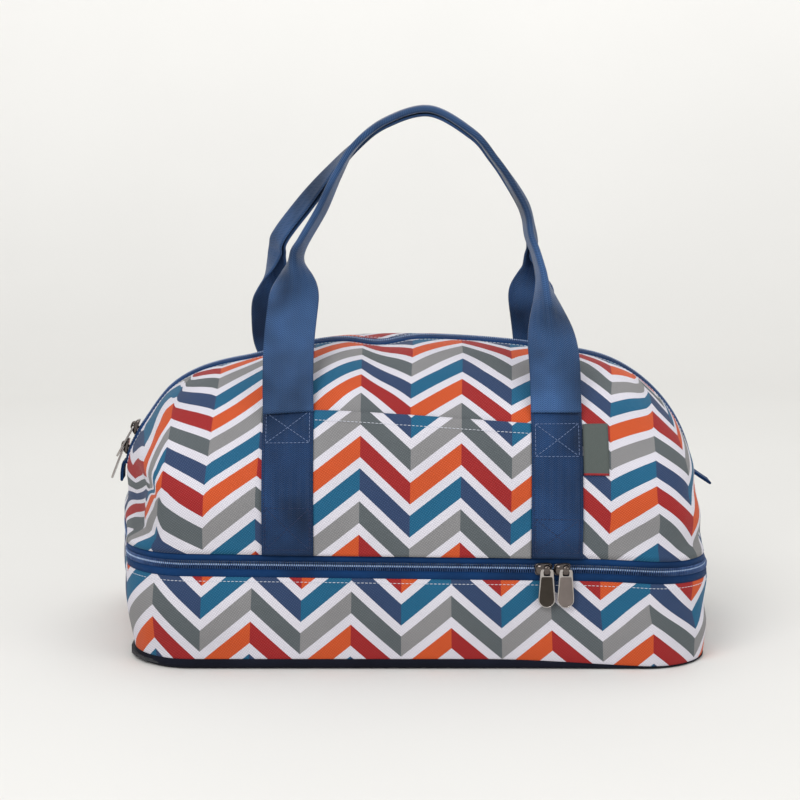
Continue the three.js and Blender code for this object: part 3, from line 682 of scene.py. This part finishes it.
def add_dome():
    for face in ("front", "back"):
        flap = f"{face}_flap"
        cloth = dome_layer(f"{face}_cloth", face, PRINT_UPPER, 0.0, SKIN, 0.0122, drop=0.0016)
        fold_with(cloth, face, f"{face}_panel", f"{flap}_panel")
        foam = dome_layer(f"{face}_padding", face, FOAM, 0.0019, FOAM_THICK, 0.0128, rows=40)
        fold_with(foam, face, f"{flap}_foam", "upper_foam")
        lining = dome_layer(f"{face}_lining", face, LINING, 0.0061, 0.001, 0.0122, rows=48, lip=True)
        fold_with(lining, face, f"{flap}_lining", "upper_lining")


def ring_layer(name, material, us, levels, insets, thick=TAPE_THICK, lift=0.0):
    """A layer round the outline, through rows that each have a height and an inset."""
    insets = np.broadcast_to(insets, len(levels))
    outer, inner = ring_grid(us, levels, insets), ring_grid(us, levels, insets + thick)
    if lift:
        outer, inner = low_right(outer), low_right(inner)
    uvs = beside(us[:, None], levels)
    uvs[..., 1] = outer[..., 2] + lift * uvs[..., 0]
    uvs[..., 0] *= 1 + 0.4 * (uvs[..., 1] - 0.037)
    return slab(name, outer, inner, material, uvs, closed=us is LOOP_US)


def add_disc(name, material, body, level, inset, thick, *nodes):
    """A flat layer that fills the outline."""
    shares = (1.0, 0.995, 0.97, 0.8, 0.6, 0.4, 0.2, 0.05, 0.004, 0.0004)
    spots, _ = outline(LOOP_US, inset)
    top = np.stack([at_height(spots * share, level) for share in shares], 1)
    dress(slab(name, top, top - [0, 0, thick], material, top[..., :2], closed=True, flip=True), body, *nodes)


LOOP_US = np.linspace(-BACK_MIDDLE, BACK_MIDDLE, 361)[:-1]
ZIP_US = np.linspace(-BACK_EDGE, BACK_EDGE, 321)
BACK_US = np.concatenate([np.linspace(BACK_EDGE, BACK_MIDDLE, 40), np.linspace(-BACK_MIDDLE, -BACK_EDGE, 40)[1:]])


def wall_swell(level):
    """How far the lower wall stands in from the plain outline at a height."""
    share = (level - 0.006) / (WALL_TOP - 0.006)
    return -0.0016 * np.sin(math.pi * share) + 0.0006 * (1 - share) ** 4


def add_lower_deck():
    wall = np.linspace(0.0062, WALL_TOP + 0.0004, 22)
    rim = (0.0682, 0.0690, 0.0740, 0.0762, 0.0768, 0.0764)
    rim_insets = (0.0052, 0.0046, 0.0046, 0.0048, 0.0056, 0.0061)
    for name, node, *shape in (
        ("lower_cloth", "lower_wall", PRINT_LOWER, LOOP_US, wall, wall_swell(wall), SKIN, 0.0252),
        ("lower_padding", "lower_foam", FOAM, LOOP_US, np.linspace(0.012, 0.0675, 8), 0.0019, FOAM_THICK),
        ("lower_lining_wall", "lower_lining", LINING, LOOP_US, np.linspace(0.0125, 0.0764, 14), 0.0062, 0.001),
        ("lower_binding", "lower_rim_binding", TAPE, LOOP_US, rim, rim_insets),
    ):
        dress(ring_layer(name, *shape), "base", node)
    add_base_panel()


def low_right(grid):
    """The turn-up narrows towards the front right, where the printed wall comes nearly down to the floor."""
    grid = grid.copy()
    share = 0.8 * ramp(grid[..., 0], 0.05, 0.2) * (1 - ramp(grid[..., 1], -0.1, 0.0))
    grid[..., 2] *= 1 - share * (1 - ramp(grid[..., 2], 0.009, 0.04))
    return grid


def add_base_panel():
    """The navy bottom, turned up round the foot of the walls."""
    levels = [0.0078, 0.0070, 0.0040, 0.0018, 0.0006, 0.0, 0.0]
    inside = [0.0078, 0.0070, 0.0042, 0.0030, 0.0022, 0.0018, 0.0018]
    insets = np.array([0.0004, -0.0002, -0.0003, 0.0003, 0.0016, 0.0040, 0.0120])
    outer = low_right(ring_grid(LOOP_US, levels, insets))
    inner = low_right(ring_grid(LOOP_US, inside, insets + SKIN))
    arc = [0.0, 0.001, 0.004, 0.006, 0.008, 0.011, 0.018]
    uvs = beside(LOOP_US[:, None], arc)
    # Painted shadow: the turn-up's near-black navy also stands for the shadow along the foot.
    rim = slab("base_turn_up", outer, inner, PANEL_AND_SHADOW, uvs, closed=True, flip=True)
    dress(rim, "base", "base_panel")


DECK_ZIP = {
    "lower": ("base", -1, (0.0676, 0.0684, 0.0690, 0.0720, 0.0750), (0.0017, 0.0012, 0.0003, 0.0002, 0.0004)),
    "lid": ("upper", 1, (0.0810, 0.0835, 0.0852, 0.0858, 0.0866), (0.0004, 0.0002, 0.0003, 0.0016, 0.0020)),
}


def add_deck_zip():
    for deck, (body, side, levels, insets) in DECK_ZIP.items():
        dress(ring_layer(f"{deck}_tape", TAPE, ZIP_US, levels, insets), body, f"{deck}_zip_tape")
        add_ring_coil(deck, body, side)
    add_deck_stitches()
    fold = ring_layer("back_hinge", TAPE, BACK_US, np.linspace(0.0680, 0.0880, 16), 0.0006)
    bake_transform(fold)
    finish(fold, "back_hinge_strip_lower", "back_hinge_strip_upper")


def add_deck_stitches():
    """The row of stitches round the lower wall, under the zip's tape."""
    spots, out = outline(ZIP_US, -0.0003)
    row = settle(at_height(spots, WALL_TOP - 0.0028))
    dress(stitches("deck_zip_stitch", row, at_height(out, 0.0), THREAD_LIGHT), "base")


def tooth_shape():
    """A turn of the coil: a small rounded bar with a fuller head, from the tape at 0 to the middle of the zip."""
    spots = np.array([0.0, 0.25, 0.6, 0.85, 1.0]) * TOOTH_LENGTH
    wide = (0.00038, 0.00040, 0.00040, 0.00056, 0.00040)
    deep = (0.00095, 0.0011, 0.00105, 0.00125, 0.0009)
    turn = np.arange(6) * math.pi / 3
    rings = [beside(s, w * np.cos(turn), d * np.sin(turn)) for s, w, d in zip(spots, wide, deep)]
    return np.concatenate(rings)


TOOTH_PITCH = 0.00165
TOOTH_LENGTH = 0.0034


def coil_object(name, origins, out, into, light):
    """Half a zip's coil: turns that reach into its middle. A light one has painted glints: paler heads, on their last
    faces.
    """
    into = np.tile(np.array(into, float), (len(origins), 1))
    axes = beside(into, np.cross(out, into), out)
    faces = tube_faces(5, 6)
    coil = scatter(name, tooth_shape(), faces, settle(origins), axes, COIL)
    if light:
        # Painted glints: the heads of the light half's turns take the paler copy.
        coil.data.materials.append(COIL_GLINT)
        place = np.arange(len(coil.data.polygons)) % len(faces)
        head = (place >= 12) & (place != len(faces) - 2)
        coil.data.polygons.foreach_set("material_index", head.astype(int))
    return coil


def add_ring_coil(deck, body, side):
    count = int(2 * BACK_EDGE / TOOTH_PITCH)
    us = -BACK_EDGE + TOOTH_PITCH * (np.arange(count) + (0.5 if side > 0 else 0.0))
    spots, normals = outline(us[us < BACK_EDGE], 0.0007)
    origins = at_height(spots, CHAIN + side * 0.0031)
    coil = coil_object(f"{deck}_coil", origins, at_height(normals, 0.0), (0, 0, -side), side > 0)
    dress(coil, body, f"{deck}_zip_coil")


def ridge_spot(s, inset, y):
    """Point and outward normal beside the ridge at length s from its middle, right positive."""
    crown_run = CROWN * CROWN_ANGLE
    run = np.abs(s)
    on_crown = run / CROWN
    start = math.pi / 2 - CROWN_ANGLE
    turn = start - np.maximum(run - crown_run, 0) / SHOULDER
    low = np.minimum(turn, 0) * -SHOULDER
    turn = np.maximum(turn, 0)
    crown = run < crown_run
    nx = np.where(crown, np.sin(on_crown), np.cos(turn))
    nz = np.where(crown, np.cos(on_crown), np.sin(turn))
    x = np.where(crown, (CROWN - inset) * nx, CROWN_REACH + (SHOULDER - inset) * nx)
    z = np.where(crown, CROWN_CENTRE + (CROWN - inset) * nz, SHOULDER_START + (SHOULDER - inset) * nz - low)
    sign = np.where(s < 0, -1.0, 1.0)
    return beside(x * sign, y, z), beside(nx * sign, 0.0, nz)


END_TURN = math.asin((ZIP_END - SHOULDER_START) / SHOULDER)
RIDGE_END = CROWN * CROWN_ANGLE + SHOULDER * (math.pi / 2 - CROWN_ANGLE - END_TURN)


def add_top_zip():
    runs = np.linspace(-RIDGE_END, RIDGE_END, 181)
    ys = (0.0028, 0.0040, 0.0080, 0.0116, 0.0122, 0.0134)
    insets = (-0.0014, -0.0018, -0.0014, -0.0006, 0.0016, 0.0019)
    uvs = beside(runs[:, None], ys)
    for face, side in (("front", -1), ("back", 1)):
        outer = np.stack([ridge_spot(runs, inset, side * y)[0] for y, inset in zip(ys, insets)], 1)
        inner = np.stack([ridge_spot(runs, inset + TAPE_THICK, side * y)[0] for y, inset in zip(ys, insets)], 1)
        tape = slab(f"top_tape_{face}", outer, inner, TAPE, uvs, flip=face == "front")
        fold_with(tape, face, f"{face}_zip_tape", "top_zip_end_left", "top_zip_end_right")
        row, above = ridge_spot(runs, -0.0002, side * 0.0168)
        row[:, 2] -= 0.0003
        fold_with(stitches(f"top_zip_stitch_{face}", settle(row), above, THREAD_LIGHT), face)
        marks = np.arange(-RIDGE_END, RIDGE_END, TOOTH_PITCH) + (0.5 * TOOTH_PITCH if side > 0 else 0.0)
        spots, out = ridge_spot(marks, -0.0012, side * 0.0031)
        coil = coil_object(f"top_coil_{face}", spots, out, (0, -side, 0), side > 0)
        fold_with(coil, face, f"{face}_zip_coil")


# Webbing, pocket, label and tabs


STRAP_OUT = 0.0003
STRAP_TOP = STRAP_OUT + WEB_THICK + 0.0001


def sewn_patch(x_low, x_high, z_low, z_high, out, thick, columns, rows, gape=0.0, slope=0.0):
    """Cloth that lies on the front of the dome between two lines across and two heights."""
    xs = np.linspace(x_low, x_high, columns)
    shares = np.linspace(0, 1, rows)
    grid_x, grid_share = np.meshgrid(xs, shares, indexing="ij")
    grid_z = z_low + (z_high - z_low - slope * (grid_x - (x_low + x_high) / 2)) * grid_share
    across = (grid_x - x_low) / (x_high - x_low)
    open_share = ramp(grid_z, z_low + 0.6 * (z_high - z_low), z_high) * np.sin(math.pi * across)
    rise = out + gape * open_share
    edge = np.minimum(across, 1 - across) * (x_high - x_low)
    rise -= 0.0006 * (1 - ramp(edge, 0.0, 0.0015))
    outer, _ = front_point(grid_x, grid_z, rise + thick)
    inner, _ = front_point(grid_x, grid_z, rise)
    return outer, inner, np.stack([grid_x, z_low + np.array([lengths_along(line) for line in outer])], -1)


def add_patch(name, face, material, node, place, tilt=0.0, **more):
    outer, inner, uvs = sewn_patch(*place, **more)
    uvs[..., 1] += tilt * uvs[..., 0]
    uvs[..., 0] -= 0.25 * tilt * (uvs[..., 1] - 0.14)
    dress(slab(name, outer, inner, material, uvs, face), "upper", node)


def sewn_line(name, face, material, xs, zs, out=STRAP_TOP):
    """A row of stitches on the front or back of the dome, through points given across and up."""
    arc = lengths_along(beside(xs, zs))
    steps = np.linspace(0, arc[-1], max(8, int(arc[-1] / 0.0015)))
    points, normals = front_point(np.interp(steps, arc, xs), np.interp(steps, arc, zs), out)
    dress(stitches(name, settle(turned(points, face)), turned(normals, face), material), "upper")


def add_box_stitch(name, face, x, low, high, material):
    """A boxed cross sewn through a strap."""
    half = WEB_HALF - 0.0028
    low, high = low + 0.0025, high - 0.0025
    left, right = x - half, x + half
    sewn_line(name + "_box", face, material, [left, right, right, left, left], [low, low, high, high, low])
    sewn_line(name + "_rise", face, material, [left, right], [low, high])
    sewn_line(name + "_fall", face, material, [left, right], [high, low])


def add_strap(face, side, x, join):
    """A sewn strap: webbing on the dome, its edge stitching and its two boxed crosses."""
    name = f"{face}_strap_{side}"
    place = (x - WEB_HALF, x + WEB_HALF, 0.0861, 0.1925, STRAP_OUT, WEB_THICK, 14, 50)
    # The strap's webbing is the darker copy, with painted shade.
    add_patch(name, face, SHADED_STRAP_WEBBING, f"strap_{face}_{side}", place)
    for edge, sign in (("left", -1), ("right", 1)):
        line = x + sign * (WEB_HALF - 0.0016)
        sewn_line(f"{name}_edge_{edge}", face, THREAD_NAVY, [line, line], [0.088, 0.19])
    add_box_stitch(name + "_foot", face, x, 0.088, join[0], THREAD_NAVY)
    add_box_stitch(name + "_head", face, x, join[1], join[2], THREAD_BLUE)


STRAP_JOINS = {"left": (0.124, 0.166, 0.193), "right": (0.118, 0.158, 0.185)}


def add_sewn_parts():
    for face in ("front", "back"):
        for side, x in zip(("left", "right"), STRAP_X):
            add_strap(face, side, x, STRAP_JOINS[side])
    low, high = STRAP_X[0] + WEB_HALF - 0.001, STRAP_X[1] - WEB_HALF + 0.001
    place = (low, high, 0.0860, 0.1874, 0.0001, 0.0012, 60, 44)
    add_patch("pocket_cloth", "front", PRINT_POCKET, "front_pocket", place, tilt=0.0643, gape=0.0012, slope=0.05)
    xs = np.linspace(low + 0.002, high - 0.002, 30)
    zs = 0.1874 - 0.05 * (xs - (low + high) / 2) - 0.0072
    sewn_line("pocket_hem_stitch", "front", THREAD_LIGHT, xs, zs, 0.0024)
    near = STRAP_X[1] + WEB_HALF + 0.0006
    place = (near, near + 0.0195, 0.1475, 0.1825, 0.0006, 0.0008, 10, 18)
    add_patch("label_tab", "front", LABEL, "side_label", place)


HANDLE_POINTS = [
    (-0.095, -0.1036, 0.1915),
    (-0.0955, -0.092, 0.217),
    (-0.095, -0.076, 0.242),
    (-0.0915, -0.056, 0.277),
    (-0.0902, -0.047, 0.297),
    (-0.0864, -0.038, 0.31),
    (-0.072, -0.028, 0.335),
    (-0.06, -0.021, 0.361),
    (-0.047, -0.018, 0.383),
    (-0.023, -0.016, 0.402),
    (0.011, -0.0145, 0.411),
    (0.044, -0.0165, 0.393),
    (0.06, -0.019, 0.374),
    (0.071, -0.021, 0.358),
    (0.083, -0.028, 0.335),
    (0.0866, -0.038, 0.316),
    (0.091, -0.045, 0.303),
    (0.094, -0.053, 0.29),
    (0.099, -0.07, 0.26),
    (0.103, -0.088, 0.228),
    (0.104, -0.1036, 0.1915),
]


def smooth_path(points, count):
    """A smooth curve through points, evenly stepped along its length."""
    points = np.array(points)
    ends = np.concatenate([[2 * points[0] - points[1]], points, [2 * points[-1] - points[-2]]])
    fine = []
    for i in range(len(points) - 1):
        a, b, c, d = ends[i : i + 4]
        t = np.linspace(0, 1, 24, endpoint=False)[:, None]
        fine.append(0.5 * (2 * b + (c - a) * t + (2 * a - 5 * b + 4 * c - d) * t**2 + (3 * b - a - 3 * c + d) * t**3))
    fine = np.concatenate(fine + [points[-1:]])
    arc = lengths_along(fine)
    even = np.linspace(0, arc[-1], count)
    return points_at(even, arc, fine), even


def web_section(fold, lean, half, thick):
    """Webbing seen end on: its middle line goes from flat to doubled over, with both edges turned back."""
    count = 33
    along = np.linspace(half, -half, count)
    bend = 0.0062
    turn = math.pi * 0.985 * fold * (ramp(-along, -bend / 2, bend / 2) - 0.5) + lean
    step = 2 * half / (count - 1)
    direction = beside(-np.cos(turn), np.sin(turn))
    middle = np.concatenate([[[0, 0]], np.cumsum((direction[1:] + direction[:-1]) / 2 * step, 0)])
    middle -= (middle.min(0) + middle.max(0)) / 2
    normal = beside(direction[:, 1], -direction[:, 0])
    taper = 1 - 0.6 * ramp(np.abs(along), half - 0.0012, half)
    offset = normal * (thick / 2) * taper[:, None]
    loop = np.concatenate([middle + offset, (middle - offset)[::-1]])
    return loop, np.concatenate([along, along[::-1]])


def add_handle(face):
    """A webbing handle: flat legs whose edges turn back as they rise, doubled over for the grip."""
    points = np.array(HANDLE_POINTS)
    back = face == "back"
    if back:
        points = points * MIRROR
        side, up = points[:, 0] < 0.005, points[:, 2]
        points[:, 0] -= 0.020 * side * ramp(up, 0.191, 0.226) * (1 - ramp(up, 0.31, 0.39))
        points[:, 0] -= 0.004 * ~side * ramp(up, 0.195, 0.24) * (1 - ramp(up, 0.28, 0.30))
        points[:, 0] += 0.0045 * ~side * hump(up, 0.318, 0.02)
        points[:, 2] -= 0.0035 * ramp(up, 0.35, 0.40)
    path, arc = smooth_path(points, 260)
    height = path[:, 2]
    left = path[:, 0] < 0.005
    low = 0.236 if back else 0.262
    right_low = 0.25 if back else 0.218
    high = 0.303 if back else 0.311
    fold = np.where(left, ramp(height, low, high), ramp(height, right_low, 0.30))
    tangent = np.gradient(path, axis=0)
    tangent[:, 0] *= ramp(height, 0.20, 0.26)
    tangent = unit(tangent)
    out = np.array([0.0, 1.0 if back else -1.0, 0.0])
    proud = unit(out - tangent * (tangent @ out)[:, None])
    across = np.cross(tangent, proud) * (-1 if back else 1)
    most = np.where(left, 40, 20) if back else np.where(left, 16, 8)
    lean = fold * (1 - ramp(height, 0.33, 0.40)) * np.radians(most)
    rings, uvs = [], []
    for i in range(len(path)):
        loop, places = web_section(float(fold[i]), float(lean[i]), WEB_HALF, WEB_THICK)
        rings.append(path[i] + loop[:, :1] * across[i] - loop[:, 1:] * proud[i])
        uvs.append(beside(places, arc[i]))
    rings = np.stack(rings)
    fade = 1 - ramp(rings[..., 2:3], 0.19, 0.25)
    rings = rings * (1 - fade) + settle(rings) * fade
    thing = mesh_object(f"{face}_grip", rings, tube_faces(*rings.shape[:2]), WEBBING, np.stack(uvs))
    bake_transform(thing)
    finish(thing, f"{face}_handle")


def add_tab(side_name, side, droop):
    """A folded tape tab at an end of the top zip: two layers and the loop that joins them at the tip."""
    angle = math.radians(droop)
    bend, length, half = 0.004, 0.016, 0.0011
    turns = np.concatenate([[0.0, 0.0], np.linspace(0, angle, 8), np.full(6, angle)])
    steps = np.concatenate([[0.0, 0.0015], np.full(8, bend / 8), np.full(6, (length - bend) / 6)])
    line = np.cumsum(beside(np.cos(turns), -np.sin(turns)) * steps[:, None], 0)
    normal = beside(np.sin(turns), np.cos(turns))
    ahead = np.array([math.cos(angle), -math.sin(angle)])
    tip_turn = np.linspace(0, math.pi, 9)[1:-1, None]
    tip = line[-1] + half * (ahead * np.sin(tip_turn) + normal[-1] * np.cos(tip_turn))
    profile = np.concatenate([line + normal * half, tip, (line - normal * half)[::-1]])
    edge = unit(np.gradient(profile, axis=0))
    layer = profile + beside(edge[:, 1], -edge[:, 0]) * TAPE_THICK
    ys = np.linspace(-0.009, 0.009, 13)
    origin = (HALF_WIDTH - 0.001, ZIP_END - 0.0019)
    outer, inner = [beside(side * flat[:, :1], ys, flat[:, 1:]) for flat in (profile + origin, layer + origin)]
    uvs = beside(lengths_along(profile)[:, None], ys)
    thing = slab(f"end_tab_{side_name}", outer, inner, TAPE, uvs, flip=side > 0)
    dress(thing, "upper", f"zip_tab_{side_name}")


def add_floors():
    """The bottom of each deck, and the padded floor between them."""
    for layer in (
        ("base_cloth", PANEL_AND_SHADOW, "base", 0.0019, 0.0118, 0.0019),
        ("lower_padding_floor", FOAM, "base", 0.0090, 0.002, 0.0036),
        ("lower_lining_floor", LINING, "base", 0.0106, 0.0064, 0.0012),
        ("divider_cloth", LINING, "upper", 0.0799, 0.0052, 0.0010, "divider_skin"),
        ("divider_padding", FOAM, "upper", 0.0869, 0.0052, 0.0065, "divider_foam"),
        ("divider_board_flexed", BOARD, "upper", 0.0897, 0.0026, 0.0022, "divider_board"),
        ("upper_lining_floor", LINING, "upper", 0.0911, 0.0068, 0.0010),
    ):
        add_disc(*layer)
    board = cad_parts["base_board"].data.materials
    board.clear()
    board.append(BOARD)


# Sliders and pulls


def flat_metal(name, loops, thick, bevel, lift=0.0):
    """A bevelled sheet of metal from closed outlines in X and Z; further outlines are holes. It spans Y."""
    curve = bpy.data.curves.new(name, "CURVE")
    curve.dimensions = "2D"
    curve.fill_mode = "BOTH"
    curve.extrude = thick / 2 - bevel
    curve.bevel_depth = bevel
    curve.bevel_resolution = 2
    curve.offset = -bevel
    for loop in loops:
        spline = curve.splines.new("POLY")
        spline.points.add(len(loop) - 1)
        spline.points.foreach_set("co", [v for x, z in loop for v in (x, z, 0.0, 1.0)])
        spline.use_cyclic_u = True
    maker = new_object(name, curve)
    bpy.context.view_layer.update()
    mesh = bpy.data.meshes.new_from_object(maker.evaluated_get(bpy.context.evaluated_depsgraph_get()))
    bpy.data.objects.remove(maker)
    mesh.transform(Matrix.Translation((0, -lift, 0)) @ Matrix.Rotation(math.radians(90), 4, "X"))
    return mesh


def rounded(points, radius, steps=5):
    """A polygon with each corner rounded."""
    points = [np.array(p, float) for p in points]
    result = []
    for i, corner in enumerate(points):
        before = points[i - 1] - corner
        after = points[(i + 1) % len(points)] - corner
        reach = min(radius, np.linalg.norm(before) * 0.45, np.linalg.norm(after) * 0.45)
        a, b = corner + unit(before) * reach, corner + unit(after) * reach
        for t in np.linspace(0, 1, steps):
            result.append(tuple((1 - t) ** 2 * a + 2 * t * (1 - t) * corner + t**2 * b))
    return result


def pull_outline(margin, top, reach):
    """The pull's outline, moved in by a margin: straight sides that widen to a round end."""
    half, end, centre = 0.0047 - margin, 0.0062 - margin, 0.0062 - 0.0285
    arc = [(end * math.cos(a), centre + end * math.sin(a)) for a in np.linspace(0, -math.pi, 15)]
    return rounded([(half, top), *arc, (-half, top)], reach, 3)


def join_meshes(name, meshes, materials):
    """One object from several meshes; each keeps its own material."""
    points, faces, slots = [], [], []
    for index, mesh in enumerate(meshes):
        faces += [[len(points) + v for v in polygon.vertices] for polygon in mesh.polygons]
        points += [v.co[:] for v in mesh.vertices]
        slots += [index] * len(mesh.polygons)
    thing = mesh_object(name, points, faces, materials[0])
    for material in materials[1:]:
        thing.data.materials.append(material)
    thing.data.polygons.foreach_set("material_index", slots)
    modifier = thing.modifiers.new("edges", "EDGE_SPLIT")
    modifier.split_angle = math.radians(40)
    return thing


def raw_mesh(name, rings):
    mesh = bpy.data.meshes.new(name)
    mesh.from_pydata(np.reshape(rings, (-1, 3)).tolist(), [], tube_faces(*np.shape(rings)[:2]))
    return mesh


def bridge_mesh():
    """The arch over the slider's plate that holds the pull's bar."""
    span, top, foot = 0.0030, 0.0063, 0.0026
    turn = np.linspace(0, math.pi, 17)
    level = span * np.sign(np.cos(turn)) * np.abs(np.cos(turn)) ** 0.55
    centre = beside(level, foot + (top - foot) * np.abs(np.sin(turn)) ** 0.6)
    tangent = unit(np.gradient(centre, axis=0))
    around = np.linspace(0, 2 * math.pi, 13)[:-1]
    wide = 0.0021 * np.sign(np.cos(around)) * np.abs(np.cos(around)) ** 0.9
    thick = 0.0009 * np.sign(np.sin(around)) * np.abs(np.sin(around)) ** 0.9
    rings = []
    for (x, out), (run, rise) in zip(centre, tangent):
        rings.append(beside(wide, -(out - run * thick), x + rise * thick))
    return raw_mesh("bridge", rings)


def dome_mesh(shape):
    """The slider's rounded top: the plate's outline drawn in and up to a low dome."""
    rings = []
    for turn in np.linspace(0, math.pi / 2 * 0.96, 9):
        size, rise = math.cos(turn) ** 0.8 * 0.96, 0.0026 + 0.0030 * math.sin(turn)
        rings.append([(x * size, -rise, z * size) for x, z in shape])
    return raw_mesh("dome", rings)


def slider_object(name, bridge_turn, shift):
    half, wide, tail = 0.0062, 0.005, 0.0042
    shape = [(-half, -tail), (half / 2, -wide), (half, -tail), (half, tail), (half / 2, wide), (-half, tail)]
    plate = rounded(shape, 0.0022)
    outer = flat_metal("plate", [plate], 0.0013, 0.0004, 0.0023)
    inner = flat_metal("plate", [plate], 0.0013, 0.0004, -0.0023)
    cap = dome_mesh(rounded(shape, 0.0036))
    post = [(-0.0012, -0.00025), (0.0012, -0.00025), (0.0012, 0.00025), (-0.0012, 0.00025)]
    post = flat_metal("post", [rounded(post, 0.0002)], 0.0042, 0.0001)
    bridge = bridge_mesh()
    bridge.transform(Matrix.Translation((shift, -0.0004, 0)) @ Matrix.Rotation(bridge_turn, 4, "Y"))
    return join_meshes(name, [outer, inner, cap, post, bridge], [NICKEL])


def pull_object(name, face_material):
    """A flat pull that hangs from its bar at the origin, bare, with a raised rim round a recessed face."""
    eye = rounded([(-0.0024, -0.0006), (0.0024, -0.0006), (0.0024, -0.0043), (-0.0024, -0.0043)], 0.0009)
    whole = pull_outline(0.0, 0.0006, 0.0018)
    back = flat_metal("back", [whole, eye], 0.0010, 0.00025, -0.00025)
    window = pull_outline(0.0007, -0.0052, 0.0008)
    rim = flat_metal("rim", [whole, eye, window], 0.0007, 0.0002, 0.0004)
    inset = flat_metal("inset", [pull_outline(0.00075, -0.0053, 0.0008)], 0.0005, 0.0001, 0.0003)
    # The rim and back take the painted-highlight copy of the nickel.
    return join_meshes(name, [back, rim, inset], [RIM_HIGHLIGHT, RIM_HIGHLIGHT, face_material])


PULL_AXIS = 0.00435
# Each pull's face takes the shaded or the lit painted copy of the same finish.
DECK_SLIDERS = {"lower_slider_left": (0.0938, FACE_SHADED), "lower_slider_right": (0.1078, FACE_LIT)}
TOP_SLIDERS = {"top_slider_a": (0.34662239, 10, FACE_LIT), "top_slider_b": (0.190642314, 10.5, FACE_SHADED)}
BRIDGE_SHIFT = 0.0026


def add_slider(name, face_material, holder, bridge_turn=0.0, lean=0.0, shift=0.0):
    """A slider and its pull where the solids have them, moved as the sagging zip is."""
    place = np.array(holder.translation)
    sag = Matrix.Translation(Vector(settle(place) - place))
    body = slider_object(name + "_metal", bridge_turn, shift)
    pull_name = name.replace("slider", "pull")
    pull = pull_object(pull_name + "_metal", face_material)
    hang = Matrix.Translation((shift, -PULL_AXIS - 0.0006, 0))
    hang = hang @ Matrix.Rotation(bridge_turn, 4, "Y") @ Matrix.Rotation(-lean, 4, "X")
    pull.data.transform(hang)
    for thing, body_name in ((body, name), (pull, pull_name)):
        thing.data.transform(sag @ holder)
        dress(thing, body_name, body_name)


def add_sliders():
    for name, (x, face_material) in DECK_SLIDERS.items():
        holder = Matrix.Translation((x, 0.0007 - HALF_DEPTH, CHAIN))
        add_slider(name, face_material, holder, shift=BRIDGE_SHIFT)
    for name, (turn, lean, face_material) in TOP_SLIDERS.items():
        out = Vector((-math.cos(turn), 0, math.sin(turn)))
        along = Vector((math.sin(turn), 0, math.cos(turn)))
        place = Vector((-CROWN_REACH, 0, SHOULDER_START)) + out * (SHOULDER + 0.0012)
        basis = Matrix((along, -out, Vector((0, 1, 0)))).transposed().to_4x4()
        holder = Matrix.Translation(place) @ basis
        add_slider(name, face_material, holder, math.pi / 2, math.radians(lean))


# Camera and stage


def add_camera():
    data = bpy.data.cameras.new("camera")
    data.lens = 94.95
    data.sensor_width = 36
    thing = new_object("camera", data)
    thing.location = (-0.012, -1.645, 0.448)
    thing.rotation_euler = (math.radians(80.85), 0, 0)
    bpy.context.scene.camera = thing


def add_lamp(name, place, target, size, power):
    data = bpy.data.lights.new(name, "AREA")
    data.shape = "DISK"
    data.size = size
    data.energy = power
    thing = new_object(name, data)
    thing.location = place
    thing.rotation_euler = (Vector(target) - Vector(place)).to_track_quat("-Z", "Y").to_euler()


def add_stage():
    """A plain pale floor that curves up into the backdrop, and soft light at a plain level."""
    shade = Shade("stage", 0.9)
    # Painted light: the floor is painted darker and the backdrop lighter upwards, to even out how the lamps fall on
    # them.
    tone = shade.ramp(shade.parts(shade.space())[2], [(0.0, linear((224, 223, 220))), (0.6, linear((251, 250, 247)))])
    shade.color(shade.tint(tone, shade.noise(3.0, 2.0), [(0.3, (0.98,) * 3), (0.7, (1, 1, 1))]))
    profile = [(-4.0, 0.0), (1.2, 0.0)]
    profile += [(1.2 + 0.8 * math.sin(a), 0.8 - 0.8 * math.cos(a)) for a in np.linspace(0.1, math.pi / 2, 12)]
    profile += [(2.0, 4.0)]
    points = [(x, y, z - 0.0002) for x in (-5.0, 5.0) for y, z in profile]
    rows = len(profile)
    faces = [(k, rows + k, rows + k + 1, k + 1) for k in range(rows - 1)]
    mesh_object("floor", points, faces, shade.material)
    world = bpy.data.worlds.new("studio")
    world.use_nodes = True
    sky = world.node_tree.nodes["Background"].inputs
    sky["Color"].default_value = (1.0, 1.0, 1.0, 1.0)
    sky["Strength"].default_value = 0.68
    add_lamp("key", (-1.0, -1.8, 1.9), (0, 0, 0.15), 1.4, 29)
    add_lamp("fill", (1.6, -1.4, 0.9), (0, 0, 0.15), 1.6, 10)
    add_lamp("top", (0.2, 0.4, 2.4), (0, 0, 0.2), 1.8, 14)
    bpy.context.scene.world = world
    bpy.context.scene.view_settings.view_transform = "Standard"


add_camera()
add_dome()
add_lower_deck()
add_deck_zip()
add_top_zip()
add_sewn_parts()
for face in ("front", "back"):
    add_handle(face)
add_tab("left", -1, 82)
add_tab("right", 1, 35)
add_floors()
add_sliders()
add_stage()
